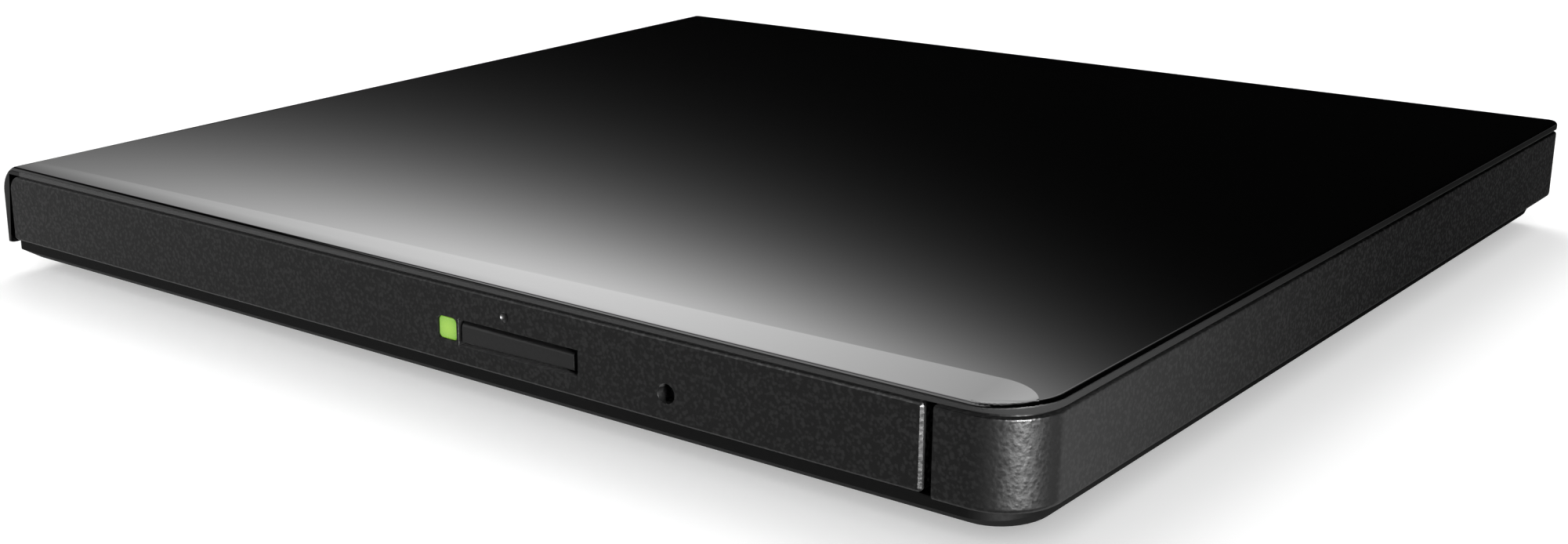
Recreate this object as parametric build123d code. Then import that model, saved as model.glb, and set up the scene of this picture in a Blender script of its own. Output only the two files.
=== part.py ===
from build123d import *
import os

# Slim external DVD drive, in millimetres.
# +X is to the right, +Y to the back, +Z up, seen from in front of the tray.
# The origin is the centre of the bottom, on the surface that the feet stand on.

# Disc and the way the mechanism lies under it
DISC_RADIUS = 60.0
DISC_HOLE_RADIUS = 7.5
HUB_CLEARANCE = 0.05
WELL_CLEARANCE = 0.6
TRAVEL_ANGLE = 225.0
LENS_INNER_RADIUS = 23.5
LENS_TRAVEL = 34.5
RUNNING_FIT = 0.05
PLAY = 0.3

# Widths, added up from the left side to the right
SKIRT_THICK = 2.7
SKIRT_GAP = 0.2
LEFT_WALL = 1.4
DRIVE_SIDE_GAP = 0.5
CHASSIS_SIDE = 0.8
RAIL_BACK = 0.6
RAIL_CORE = 1.1
TRAY_LANE = 1.2
TRAY_WIDTH = 120.0
RIGHT_SPACE = 9.2
CASE_WALL = 2.0

# Depths, added up from the front plane to the back
BEZEL_THICK = 2.4
WELL_FRONT_MARGIN = 3.05
TRAY_REAR_RIM = 0.7
TRAY_REAR_GAP = 0.3
CHASSIS_BACK = 0.7
REAR_SPACE = 7.15

# Heights, added up from the surface
FOOT_HEIGHT = 1.3
PAN_FLOOR = 1.2
LOWER_PAD = 0.7
CHASSIS_FLOOR = 0.6
UNDER_TRAY_GAP = 0.5
TRAY_UNDERSIDE = 2.3
WELL_FLOOR = 0.8
WELL_DEPTH = 2.8
OVER_TRAY_GAP = 1.4
TOP_PLATE = 0.6
UPPER_PAD = 0.7
COVER_THICK = 1.1

# Outer shells
PAN_HEIGHT = 2.7
PAN_INSET = 2.0
PAN_FRONT_INSET = 1.0
PAN_WALL = 1.0
PAN_FRONT_WALL = 1.5
PAN_SLOPE_DEPTH = 2.5
PAN_SLOPE_RISE = 1.6
PAN_FRONT_LEFT_RADIUS = 2.8
PAN_CORNER_RADIUS = 4.0
PAN_REAR_RADIUS = 2.0
COVER_FRONT_LEFT_RADIUS = 0.5
FRONT_CORNER_RADIUS = 6.0
REAR_CORNER_RADIUS = 1.5
SKIRT_TOP_RADIUS = 3.6
FACET_DEPTH = 8.4
FACET_DROP = 0.4
COVER_RIB_HEIGHT = 1.2
COVER_RIB_THICK = 0.8
COVER_RIB_END = 3.0
SEAT_HEIGHT = 1.0
BLOCK_RETURN = 1.5
BLOCK_RETURN_DEPTH = 9.0
FIT_GAP = 0.1

# Front bezel and what is set in it
BEZEL_OVERHANG = 1.8
BEZEL_BLOCK_GAP = 0.9
BEZEL_LOW_GAP = 0.4
BEZEL_TOP_GAP = 0.25
BEZEL_FACE = 1.6
BEZEL_RIM = 1.2
BEZEL_EDGE = 0.3
BEZEL_CORNER_RADIUS = 1.8
BUTTON_LIGHT_GAP = 0.65
BUTTON_RISE = 2.4
BUTTON_WIDTH = 15.3
BUTTON_HEIGHT = 2.1
BUTTON_GAP = 0.3
BUTTON_FLANGE = 0.6
BUTTON_FLANGE_THICK = 0.5
BUTTON_STEM = 3.0
BUTTON_STEM_LENGTH = 0.45
BUTTON_TRAVEL = 0.6
LIGHT_FROM_LEFT = 73.25
LIGHT_RISE = 2.35
LIGHT_WIDTH = 2.6
LIGHT_HEIGHT = 2.4
LIGHT_STEM = 1.6
LIGHT_GAP = 0.05
PIN_HOLE_RADIUS = 1.0
PIN_HOLE_FROM_LEFT = 103.05
PIN_HOLE_RISE = 2.8

# Feet, screws and bosses
FOOT_RADIUS = 4.0
FOOT_RECESS = 0.3
FOOT_INSET_X = 14.0
FOOT_INSET_Y = 14.0
SCREW_RADIUS = 1.0
SCREW_HEAD_RADIUS = 1.9
SCREW_HEAD = 0.6
SCREW_FIT = 0.03
SCREW_LENGTH = 6.0
BOSS_RADIUS = 2.2
SMALL_SCREW_RADIUS = 0.7
SMALL_HEAD_RADIUS = 1.3
SMALL_HEAD = 0.4
BOSS_FRONT_INSET = 22.0
BOSS_MIDDLE_INSET = 78.0
BOSS_REAR_INSET_X = 17.0

# Drive chassis, its pads and rails
PAD_WIDTH = 8.0
PAD_LENGTH = 16.0
PAD_INSET = 6.0
CHASSIS_FRONT_GAP = 0.75
TAB_SIZE = 2.4
TAB_THICK = 0.8
RAIL_LIP = 0.6
RAIL_CORE_HEIGHT = 1.6
RAIL_TONGUE_HEIGHT = 1.0
RAIL_LENGTH = 119.0
SLIDE_RAIL_LENGTH = 118.0
GROOVE_DEPTH = 0.9
POST_RADIUS = 1.2
POST_HEIGHT = 2.2

# Disc tray
TRAY_RIM = 2.2
DECK_THICK = 1.3
WELL_WALL = 1.6
TRAY_CORNER_RADIUS = 3.0

# Traverse, measured from the spindle along the lens's way out
FRAME_BACK = 15.0
FRAME_END_BAR = 6.0
FRAME_CORNER_BAR = 1.6
FRAME_SIDE = 18.5
FRAME_SCREW_SIDE = 22.0
FRAME_THICK = 1.9
WINDOW_SLED_GAP = 1.7
WINDOW_SIDE = 16.0
WINDOW_SCREW_SIDE = 19.8
WINDOW_MARGIN = 0.5
SHIELD_THICK = 0.3
SHIELD_GAP = 0.05
BUSH_RADIUS = 2.2
BUSH_HEIGHT = 1.7
BUSH_BACK = 11.5
BUSH_SIDE = 13.5
BUSH_FROM_WINDOW = 3.3
ROD_RADIUS = 0.75
ROD_SIDE = 13.5
ROD_SEAT = 1.6

# Spindle
MOTOR_BASE_RADIUS = 12.0
MOTOR_BASE_THICK = 0.6
SHAFT_RADIUS = 1.5
ROTOR_RADIUS = 11.0
ROTOR_GAP = 0.3
TURNTABLE_RADIUS = 13.2
TURNTABLE_THICK = 0.6
DISC_OVER_WELL = 2.1
HUB_HEIGHT = 1.5
HUB_CHAMFER = 0.5
BALL_RADIUS = 0.6

# Pickup
SLED_IN = 8.0
SLED_OUT = 6.0
SLED_EAR_OUT = 4.0
SLED_SIDE = 11.5
SLED_HEIGHT = 3.0
SLED_EAR = 14.9
SLED_EAR_HEIGHT = 1.9
PICKUP_COVER = 0.3
LENS_POCKET = 4.2
LENS_HOLDER_RADIUS = 3.5
LENS_HOLDER_HEIGHT = 1.4
LENS_RADIUS = 2.2
LENS_HEIGHT = 0.5
FOCUS_TRAVEL = 0.3

# Lead screw and its motor
LEAD_SCREW_RADIUS = 0.85
LEAD_SCREW_SIDE = 17.4
SLED_MOTOR_RADIUS = 2.1
SLED_MOTOR_GAP = 0.6
SLED_MOTOR_LENGTH = 9.0
MOTOR_LIFT = 0.2
NUT_LENGTH = 4.0
NUT_WALL = 0.55
END_BLOCK = 2.0

# Latch
LATCH_POST_FROM_RIGHT = 15.1
LATCH_POST_FROM_FRONT = 9.0
LATCH_PIVOT_AHEAD = 4.3
LATCH_PIVOT_RIGHT = 3.3
LATCH_THICK = 1.0
LATCH_WIDTH = 1.4
LATCH_HUB_RADIUS = 1.9
LATCH_PIN_RADIUS = 0.9
LATCH_SWING = 20.0
LATCH_TAB = 2.0
SOLENOID_WIDTH = 7.0
SOLENOID_LENGTH = 8.0

# Circuit boards
BOARD_THICK = 0.8
BOARD_SEAT = 1.0
BOARD_STRIP = 5.2
BOARD_LEFT_REACH = 36.0
BOARD_ARM_LENGTH = 48.0
BOARD_ARM_WIDTH = 6.8
BOARD_SCREW_INSET = 4.0
CHIP_HEIGHT = 0.9
CHIP_ROW_START = 10.0
CHIP_ROW_GAP = 3.0
BRIDGE_CHIP_SIZE = 5.0
CRYSTAL_WIDTH = 2.4
CRYSTAL_LENGTH = 4.0
CAPACITOR_WIDTH = 1.6
CAPACITOR_LENGTH = 1.0
CAPACITOR_COUNT = 4
CONTROLLER_SIZE = 12.0
DRIVER_WIDTH = 8.0
DRIVER_LENGTH = 6.0
MEMORY_WIDTH = 4.0
MEMORY_LENGTH = 10.0
LED_DEPTH = 1.2
SWITCH_WIDTH = 4.0
SWITCH_KNOB_WIDTH = 2.0
TRAY_BOARD_WIDTH = 23.0
TRAY_BOARD_DEPTH = 2.7
DRIVE_BOARD_OFFSET = 11.3
DRIVE_BOARD_WIDTH = 31.0
DRIVE_BOARD_LENGTH = 40.0
DRIVE_BOARD_SCREW_INSET = 3.0
DRIVE_CHIP_INSET = 8.0
DRIVE_CONNECTOR_WIDTH = 22.0
DRIVE_CONNECTOR_HEIGHT = 3.6
DRIVE_CONNECTOR_DEPTH = 2.0
CONNECTOR_LIP = 1.0
FLEX_WIDTH = 18.0
FLEX_THICK = 0.15
FLEX_LENGTH = 62.0
USB_WIDTH = 7.7
USB_HEIGHT = 3.9
USB_DEPTH = 8.6
USB_SHELL = 0.3
USB_FROM_RIGHT = 20.0
USB_OPENING_GAP = 0.2
USB_BLOCK_WIDTH = 6.0
USB_BLOCK_DEPTH = 2.0
USB_TONGUE_WIDTH = 4.8
USB_TONGUE_THICK = 1.0
USB_TONGUE_RECESS = 2.0

# Eject plunger at the back of the tray
PLUNGER_FROM_SPINDLE = 45.0
PLUNGER_RADIUS = 0.7
PLUNGER_LENGTH = 4.2
PLUNGER_HEAD_RADIUS = 1.3
SPRING_RADIUS = 1.0
SPRING_WIRE = 0.2
SPRING_TURNS = 6

# Positions that follow from the sizes above
WELL_RADIUS = DISC_RADIUS + WELL_CLEARANCE
TRAY_HALF = TRAY_WIDTH / 2
RAIL_SPACE = TRAY_LANE + RAIL_CORE + PLAY + RAIL_BACK
DRIVE_HALF = TRAY_HALF + RAIL_SPACE + CHASSIS_SIDE
LEFT_SPACE = SKIRT_THICK + SKIRT_GAP + LEFT_WALL + DRIVE_SIDE_GAP
WIDTH = LEFT_SPACE + 2 * DRIVE_HALF + RIGHT_SPACE + CASE_WALL
LEFT = -WIDTH / 2
RIGHT = WIDTH / 2
SPINDLE_X = LEFT + LEFT_SPACE + DRIVE_HALF
DRIVE_LEFT = SPINDLE_X - DRIVE_HALF
DRIVE_RIGHT = SPINDLE_X + DRIVE_HALF
TRAY_LEFT = SPINDLE_X - TRAY_HALF
TRAY_RIGHT = SPINDLE_X + TRAY_HALF

DRIVE_DEPTH = WELL_FRONT_MARGIN + 2 * WELL_RADIUS + TRAY_REAR_RIM + TRAY_REAR_GAP + CHASSIS_BACK
DEPTH = BEZEL_THICK + DRIVE_DEPTH + REAR_SPACE + CASE_WALL
FRONT = -DEPTH / 2
BACK = DEPTH / 2
TRAY_FRONT = FRONT + BEZEL_THICK
SPINDLE_Y = TRAY_FRONT + WELL_FRONT_MARGIN + WELL_RADIUS
TRAY_BACK = SPINDLE_Y + WELL_RADIUS + TRAY_REAR_RIM
CHASSIS_FRONT = TRAY_FRONT + CHASSIS_FRONT_GAP
CHASSIS_INNER_BACK = TRAY_BACK + TRAY_REAR_GAP
CHASSIS_REAR = CHASSIS_INNER_BACK + CHASSIS_BACK

PAN_FLOOR_TOP = FOOT_HEIGHT + PAN_FLOOR
PAN_TOP = FOOT_HEIGHT + PAN_HEIGHT
CHASSIS_LOW = PAN_FLOOR_TOP + LOWER_PAD
CHASSIS_FLOOR_TOP = CHASSIS_LOW + CHASSIS_FLOOR
TRAY_LOW = CHASSIS_FLOOR_TOP + UNDER_TRAY_GAP
WELL_LOW = TRAY_LOW + TRAY_UNDERSIDE
WELL_TOP = WELL_LOW + WELL_FLOOR
DECK_TOP = WELL_TOP + WELL_DEPTH
DECK_LOW = DECK_TOP - DECK_THICK
TOP_PLATE_LOW = DECK_TOP + OVER_TRAY_GAP
TOP_PLATE_TOP = TOP_PLATE_LOW + TOP_PLATE
COVER_LOW = TOP_PLATE_TOP + UPPER_PAD
HEIGHT = COVER_LOW + COVER_THICK

BEZEL_LEFT = DRIVE_LEFT - BEZEL_OVERHANG
BEZEL_RIGHT = DRIVE_RIGHT + BEZEL_OVERHANG
BEZEL_LOW = PAN_TOP + BEZEL_LOW_GAP
BEZEL_TOP = COVER_LOW - BEZEL_TOP_GAP
BLOCK_LEFT = BEZEL_RIGHT + BEZEL_BLOCK_GAP
BUTTON_LOW = BEZEL_LOW + BUTTON_RISE
LIGHT_LEFT = BEZEL_LEFT + LIGHT_FROM_LEFT
BUTTON_LEFT = LIGHT_LEFT + LIGHT_WIDTH + BUTTON_LIGHT_GAP
LIGHT_LOW = BEZEL_LOW + LIGHT_RISE
PIN_HOLE_X = BEZEL_LEFT + PIN_HOLE_FROM_LEFT
PIN_HOLE_Z = BEZEL_LOW + PIN_HOLE_RISE

SHIELD_TOP = TRAY_LOW + SHIELD_THICK
FRAME_LOW = SHIELD_TOP + SHIELD_GAP
FRAME_TOP = FRAME_LOW + FRAME_THICK
ROD_Z = FRAME_LOW + FRAME_THICK / 2
DISC_PLANE = WELL_TOP + DISC_OVER_WELL
TURNTABLE_LOW = DISC_PLANE - TURNTABLE_THICK
ROTOR_LOW = FRAME_LOW + MOTOR_BASE_THICK + ROTOR_GAP
SLED_LOW = FRAME_LOW + PLAY
WINDOW_START = LENS_INNER_RADIUS - SLED_IN - WINDOW_SLED_GAP
SLED_MOTOR_START = LENS_INNER_RADIUS + LENS_TRAVEL - SLED_IN + NUT_LENGTH + SLED_MOTOR_GAP
WINDOW_END = LENS_INNER_RADIUS + LENS_TRAVEL + SLED_OUT + 2 * PLAY
FRAME_OUT = WINDOW_END + FRAME_END_BAR
BUSH_OUT = WINDOW_END + BUSH_FROM_WINDOW
SLED_TOP = SLED_LOW + SLED_HEIGHT
SLED_MOTOR_Z = TRAY_LOW + MOTOR_LIFT + SLED_MOTOR_RADIUS
POST_X = TRAY_RIGHT - LATCH_POST_FROM_RIGHT + POST_RADIUS
POST_Y = TRAY_FRONT + LATCH_POST_FROM_FRONT
PIVOT_X = POST_X + LATCH_PIVOT_RIGHT
PIVOT_Y = POST_Y - LATCH_PIVOT_AHEAD
LATCH_LOW = TRAY_LOW + PLAY
BRIDGE_LOW = PAN_FLOOR_TOP + BOARD_SEAT
BRIDGE_TOP = BRIDGE_LOW + BOARD_THICK
RAIL_LOW = CHASSIS_FLOOR_TOP + PLAY
CORE_LOW = RAIL_LOW + RAIL_LIP + PLAY
CORE_TOP = CORE_LOW + RAIL_CORE_HEIGHT
RAIL_TOP = CORE_TOP + PLAY + RAIL_LIP


def span(x, y, z):
    """A box between two limits on each axis."""
    sizes = [high - low for low, high in (x, y, z)]
    middles = [(high + low) / 2 for low, high in (x, y, z)]
    return Pos(*middles) * Box(*sizes)


def column(x, y, radius, z):
    """An upright cylinder."""
    low, high = z
    return Pos(x, y, (low + high) / 2) * Cylinder(radius, high - low)


def bar_along_x(y, z, radius, x):
    """A cylinder along X."""
    low, high = x
    return Pos((low + high) / 2, y, z) * Rot(0, 90, 0) * Cylinder(radius, high - low)


def bar_along_y(x, z, radius, y):
    """A cylinder along Y."""
    low, high = y
    return Pos(x, (low + high) / 2, z) * Rot(90, 0, 0) * Cylinder(radius, high - low)


def round_upright(shape, x, y, radius):
    """Rounds the upright edge nearest to a corner."""
    edges = shape.edges().filter_by(Axis.Z).sort_by_distance((x, y, 0))
    return fillet(edges[0], radius)


def rounded_slab(x, y, z, front_left, front_right, back_left, back_right):
    """A box with a radius of its own on each upright edge."""
    slab = span(x, y, z)
    corners = (
        (x[0], y[0], front_left),
        (x[1], y[0], front_right),
        (x[0], y[1], back_left),
        (x[1], y[1], back_right),
    )
    for corner_x, corner_y, radius in corners:
        slab = round_upright(slab, corner_x, corner_y, radius)
    return slab


def on_traverse(shape):
    """Turns a shape from the lens's own axis to its place under the disc."""
    return Location((SPINDLE_X, SPINDLE_Y, 0), (0, 0, TRAVEL_ANGLE)) * shape


def screw(x, y, head_low, radius, head_radius, head, length):
    """A screw that goes in from below."""
    shank = column(x, y, radius, (head_low + head, head_low + head + length))
    return column(x, y, head_radius, (head_low, head_low + head)) + shank


def boss_places():
    """Where the three long screws go from the pan up into the cover."""
    side_x = RIGHT - CASE_WALL - RIGHT_SPACE / 2
    rear_y = BACK - CASE_WALL - REAR_SPACE / 2
    return (
        (side_x, FRONT + BOSS_FRONT_INSET),
        (side_x, FRONT + BOSS_MIDDLE_INSET),
        (LEFT + BOSS_REAR_INSET_X, rear_y),
    )


def foot_places():
    """The four corners of the pan where the feet sit."""
    left = LEFT + FOOT_INSET_X
    right = RIGHT - FOOT_INSET_X
    front = FRONT + FOOT_INSET_Y
    back = BACK - FOOT_INSET_Y
    return ((left, front), (right, front), (left, back), (right, back))


# Outer shells

def top_cover():
    """The gloss cover, which wraps down the left side as a skirt."""
    cover = rounded_slab(
        (LEFT, RIGHT), (FRONT, BACK), (PAN_TOP, HEIGHT),
        COVER_FRONT_LEFT_RADIUS, FRONT_CORNER_RADIUS, REAR_CORNER_RADIUS, REAR_CORNER_RADIUS,
    )
    cover -= span((LEFT + SKIRT_THICK, RIGHT + 1), (FRONT - 1, BACK + 1), (PAN_TOP - 1, COVER_LOW))
    z = (HEIGHT - SKIRT_TOP_RADIUS, HEIGHT + 1)
    corner = span((LEFT - 1, LEFT + SKIRT_TOP_RADIUS), (FRONT - 1, BACK + 1), z)
    rounding = bar_along_y(
        LEFT + SKIRT_TOP_RADIUS, HEIGHT - SKIRT_TOP_RADIUS, SKIRT_TOP_RADIUS, (FRONT - 2, BACK + 2)
    )
    cover -= corner - rounding
    cover -= facet_wedge()
    cover += cover_rib()
    for x, y in boss_places():
        cover += column(x, y, BOSS_RADIUS, (PAN_FLOOR_TOP, COVER_LOW))
        cover -= column(x, y, SCREW_RADIUS + SCREW_FIT, (PAN_FLOOR_TOP - 1, PAN_FLOOR_TOP + SCREW_LENGTH))
    return cover


def facet_wedge():
    """What the shallow facet along the front edge takes off the cover."""
    slope = FACET_DROP / FACET_DEPTH
    with BuildPart() as wedge:
        with BuildSketch(Plane.YZ.offset(LEFT - 1)):
            with BuildLine():
                Polyline(
                    (FRONT + FACET_DEPTH, HEIGHT),
                    (FRONT - 1, HEIGHT - FACET_DROP - slope),
                    (FRONT - 1, HEIGHT + 1),
                    (FRONT + FACET_DEPTH, HEIGHT + 1),
                    close=True,
                )
            make_face()
        extrude(amount=WIDTH + 2)
    return wedge.part


def cover_rib():
    """The rib under the cover that finds the inside of the right and rear walls."""
    inner_right = RIGHT - CASE_WALL - FIT_GAP
    inner_back = BACK - CASE_WALL - FIT_GAP
    z = (COVER_LOW - COVER_RIB_HEIGHT, COVER_LOW)
    side_y = (FRONT + BOSS_FRONT_INSET, inner_back - COVER_RIB_END)
    side = span((inner_right - COVER_RIB_THICK, inner_right), side_y, z)
    rear_x = (LEFT + BOSS_REAR_INSET_X, inner_right - COVER_RIB_END)
    rear = span(rear_x, (inner_back - COVER_RIB_THICK, inner_back), z)
    return side + rear


def case_body():
    """The matt walls: left inner wall, right wall, rear wall and front right block."""
    inner_left = LEFT + SKIRT_THICK + SKIRT_GAP
    body = rounded_slab(
        (inner_left, RIGHT), (FRONT, BACK), (PAN_TOP, COVER_LOW),
        SKIRT_GAP, FRONT_CORNER_RADIUS, SKIRT_GAP, REAR_CORNER_RADIUS,
    )
    z = (PAN_TOP - 1, COVER_LOW + 1)
    bay = (inner_left + LEFT_WALL, RIGHT - CASE_WALL)
    body -= span(bay, (FRONT + BLOCK_RETURN_DEPTH, BACK - CASE_WALL), z)
    body -= span((inner_left - 1, BLOCK_LEFT), (FRONT - 1, CHASSIS_FRONT), z)
    body -= span((inner_left + LEFT_WALL, BLOCK_LEFT), (FRONT - 1, FRONT + BLOCK_RETURN_DEPTH + 1), z)
    pocket = (BLOCK_LEFT + BLOCK_RETURN, RIGHT - CASE_WALL)
    hollow = rounded_slab(
        pocket, (FRONT + CASE_WALL, FRONT + BLOCK_RETURN_DEPTH + 1), z,
        SKIRT_GAP, FRONT_CORNER_RADIUS - CASE_WALL, SKIRT_GAP, SKIRT_GAP,
    )
    body -= hollow
    body += wall_seat()
    usb_x = usb_centre_x()
    gap = USB_OPENING_GAP
    body -= span(
        (usb_x - USB_WIDTH / 2 - gap, usb_x + USB_WIDTH / 2 + gap),
        (BACK - CASE_WALL - PAN_WALL - 1, BACK + 1),
        (BRIDGE_TOP - gap, BRIDGE_TOP + USB_HEIGHT + gap),
    )
    return body


def wall_seat():
    """The inward step at the foot of the right and rear walls that the pan's rim meets."""
    z = (PAN_TOP, PAN_TOP + SEAT_HEIGHT)
    inner_right = RIGHT - CASE_WALL
    inner_back = BACK - CASE_WALL
    inner_left = LEFT + SKIRT_THICK + SKIRT_GAP
    right = span((inner_right - PAN_WALL, inner_right), (FRONT + BLOCK_RETURN_DEPTH, inner_back), z)
    rear = span((inner_left + LEFT_WALL, inner_right), (inner_back - PAN_WALL, inner_back), z)
    return right + rear


def bottom_cover():
    """The dark pan under the case, set in from the walls."""
    x = (LEFT + PAN_INSET, RIGHT - PAN_INSET)
    y = (FRONT + PAN_FRONT_INSET, BACK - PAN_INSET)
    pan = rounded_slab(
        x, y, (FOOT_HEIGHT, PAN_TOP),
        PAN_FRONT_LEFT_RADIUS, PAN_CORNER_RADIUS, PAN_REAR_RADIUS, PAN_REAR_RADIUS,
    )
    pan -= rounded_slab(
        (x[0] + PAN_WALL, x[1] - PAN_WALL),
        (y[0] + PAN_FRONT_WALL, y[1] - PAN_WALL),
        (PAN_FLOOR_TOP, PAN_TOP + 1),
        PAN_FRONT_LEFT_RADIUS - PAN_WALL, PAN_CORNER_RADIUS - PAN_WALL, PAN_WALL, PAN_WALL,
    )
    pan -= front_slope()
    thread = SMALL_SCREW_RADIUS + SCREW_FIT
    for post_x, post_y in board_screw_places():
        pan += column(post_x, post_y, SMALL_HEAD_RADIUS + PLAY, (PAN_FLOOR_TOP, BRIDGE_LOW))
        pan -= column(post_x, post_y, thread, (PAN_FLOOR_TOP - PAN_FLOOR / 2, BRIDGE_LOW + 1))
    for screw_x, screw_y in boss_places():
        pan -= column(screw_x, screw_y, SCREW_RADIUS + SCREW_FIT, (FOOT_HEIGHT - 1, PAN_FLOOR_TOP + 1))
        head_top = FOOT_HEIGHT + SCREW_HEAD
        pan -= column(screw_x, screw_y, SCREW_HEAD_RADIUS + FIT_GAP, (FOOT_HEIGHT - 1, head_top))
    for foot_x, foot_y in foot_places():
        pan -= column(foot_x, foot_y, FOOT_RADIUS + FIT_GAP, (FOOT_HEIGHT - 1, FOOT_HEIGHT + FOOT_RECESS))
    return pan


def front_slope():
    """What the sloping underside takes off the pan's front edge."""
    front = FRONT + PAN_FRONT_INSET
    with BuildPart() as slope:
        with BuildSketch(Plane.YZ.offset(LEFT)):
            with BuildLine():
                Polyline(
                    (front, FOOT_HEIGHT + PAN_SLOPE_RISE),
                    (front + PAN_SLOPE_DEPTH, FOOT_HEIGHT),
                    (front + PAN_SLOPE_DEPTH, FOOT_HEIGHT - 1),
                    (front - 1, FOOT_HEIGHT - 1),
                    (front - 1, FOOT_HEIGHT + PAN_SLOPE_RISE),
                    close=True,
                )
            make_face()
        extrude(amount=WIDTH)
    return slope.part


def rubber_feet():
    """Four round feet, set in shallow recesses."""
    feet = []
    for x, y in foot_places():
        foot = column(x, y, FOOT_RADIUS, (0, FOOT_HEIGHT + FOOT_RECESS))
        feet.append(chamfer(foot.edges().sort_by(Axis.Z)[0], FOOT_RECESS))
    return Compound(children=feet)


def case_screws():
    """Three screws from the pan into the cover's long bosses."""
    length = PAN_FLOOR - SCREW_HEAD + SCREW_LENGTH - PLAY
    return Compound(children=[
        screw(x, y, FOOT_HEIGHT, SCREW_RADIUS, SCREW_HEAD_RADIUS, SCREW_HEAD, length)
        for x, y in boss_places()
    ])


# Drive chassis

def pad_places():
    """The four corners of the drive where pads lie above and below it."""
    left = DRIVE_LEFT + PAD_INSET
    right = DRIVE_RIGHT - PAD_INSET - PAD_WIDTH
    front = CHASSIS_FRONT + PAD_INSET
    back = CHASSIS_REAR - PAD_INSET - PAD_LENGTH
    return ((left, front), (right, front), (left, back), (right, back))


def pads(z):
    """Four foam pads between two levels."""
    return Compound(children=[
        span((x, x + PAD_WIDTH), (y, y + PAD_LENGTH), z) for x, y in pad_places()
    ])


def drive_chassis():
    """The folded sheet that holds the rails, open at the front."""
    chassis = span((DRIVE_LEFT, DRIVE_RIGHT), (CHASSIS_FRONT, CHASSIS_REAR), (CHASSIS_LOW, TOP_PLATE_LOW))
    inner = (DRIVE_LEFT + CHASSIS_SIDE, DRIVE_RIGHT - CHASSIS_SIDE)
    chassis -= span(inner, (CHASSIS_FRONT - 1, CHASSIS_INNER_BACK), (CHASSIS_FLOOR_TOP, TOP_PLATE_LOW + 1))
    for x, y in tab_places():
        chassis += span((x, x + TAB_SIZE), (y, y + TAB_SIZE), (TOP_PLATE_LOW - TAB_THICK, TOP_PLATE_LOW))
    through = (TOP_PLATE_LOW - TAB_THICK - 1, TOP_PLATE_LOW + 1)
    for x, y in tab_centres():
        chassis -= column(x, y, SMALL_SCREW_RADIUS + SCREW_FIT, through)
    low, high = connector_z()
    chassis -= span(
        (connector_x()[0] + CONNECTOR_LIP, connector_x()[1] - CONNECTOR_LIP),
        (CHASSIS_INNER_BACK - 1, CHASSIS_REAR + 1),
        (low + CONNECTOR_LIP, high - CONNECTOR_LIP),
    )
    chassis -= bar_along_y(
        plunger_place_x(), plunger_z(), PLUNGER_RADIUS + RUNNING_FIT, (CHASSIS_INNER_BACK - 1, CHASSIS_REAR + 1)
    )
    return chassis


def tab_places():
    """Corner tabs that the top plate is screwed to, at the drive's side walls."""
    left = DRIVE_LEFT + CHASSIS_SIDE
    right = DRIVE_RIGHT - CHASSIS_SIDE - TAB_SIZE
    front = CHASSIS_FRONT
    back = CHASSIS_INNER_BACK - TAB_SIZE
    return ((left, front), (right, front), (left, back), (right, back))


def tab_centres():
    """The middle of each corner tab."""
    return [(x + TAB_SIZE / 2, y + TAB_SIZE / 2) for x, y in tab_places()]


def drive_top_plate():
    """The flat lid of the drive."""
    plate = span((DRIVE_LEFT, DRIVE_RIGHT), (CHASSIS_FRONT, CHASSIS_REAR), (TOP_PLATE_LOW, TOP_PLATE_TOP))
    for x, y in tab_centres():
        plate -= column(x, y, SMALL_SCREW_RADIUS + SCREW_FIT, (TOP_PLATE_LOW - 1, TOP_PLATE_TOP + 1))
    return plate


def chassis_screws():
    """Four small screws through the lid into the corner tabs."""
    screws = []
    for x, y in tab_centres():
        head = column(x, y, SMALL_HEAD_RADIUS, (TOP_PLATE_TOP, TOP_PLATE_TOP + SMALL_HEAD))
        shank = column(x, y, SMALL_SCREW_RADIUS, (TOP_PLATE_LOW - TAB_THICK, TOP_PLATE_TOP))
        screws.append(head + shank)
    return Compound(children=screws)


def latch_post():
    """The post on the chassis floor that the latch hooks behind."""
    foot = column(POST_X, POST_Y, POST_RADIUS, (CHASSIS_FLOOR_TOP, CHASSIS_FLOOR_TOP + POST_HEIGHT))
    return chamfer(foot.edges().sort_by(Axis.Z)[-1], PLAY)


def fixed_rail_right():
    """A channel on the chassis wall, open towards the tray."""
    outer = DRIVE_RIGHT - CHASSIS_SIDE
    y = (CHASSIS_FRONT, CHASSIS_FRONT + RAIL_LENGTH)
    rail = span((outer - RAIL_BACK - PLAY - RAIL_CORE, outer), y, (RAIL_LOW, RAIL_TOP))
    slot = (outer - RAIL_BACK - RAIL_CORE - 2 * PLAY, outer - RAIL_BACK)
    return rail - span(slot, (y[0] - 1, y[1] + 1), (CORE_LOW - PLAY, CORE_TOP + PLAY))


def slide_rail_right():
    """The bar that runs in the channel, with a tongue in the tray's groove."""
    outer = DRIVE_RIGHT - CHASSIS_SIDE - RAIL_BACK - PLAY
    y = (CHASSIS_FRONT, CHASSIS_FRONT + SLIDE_RAIL_LENGTH)
    middle = (CORE_LOW + CORE_TOP) / 2
    core = span((outer - RAIL_CORE, outer), y, (CORE_LOW, CORE_TOP))
    tongue = span(
        (TRAY_RIGHT - GROOVE_DEPTH + PLAY, outer - RAIL_CORE), y,
        (middle - RAIL_TONGUE_HEIGHT / 2, middle + RAIL_TONGUE_HEIGHT / 2),
    )
    return core + tongue


def to_left(shape):
    """The same piece on the other side of the spindle."""
    return mirror(shape, about=Plane.YZ.offset(SPINDLE_X))


# Tray

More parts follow.
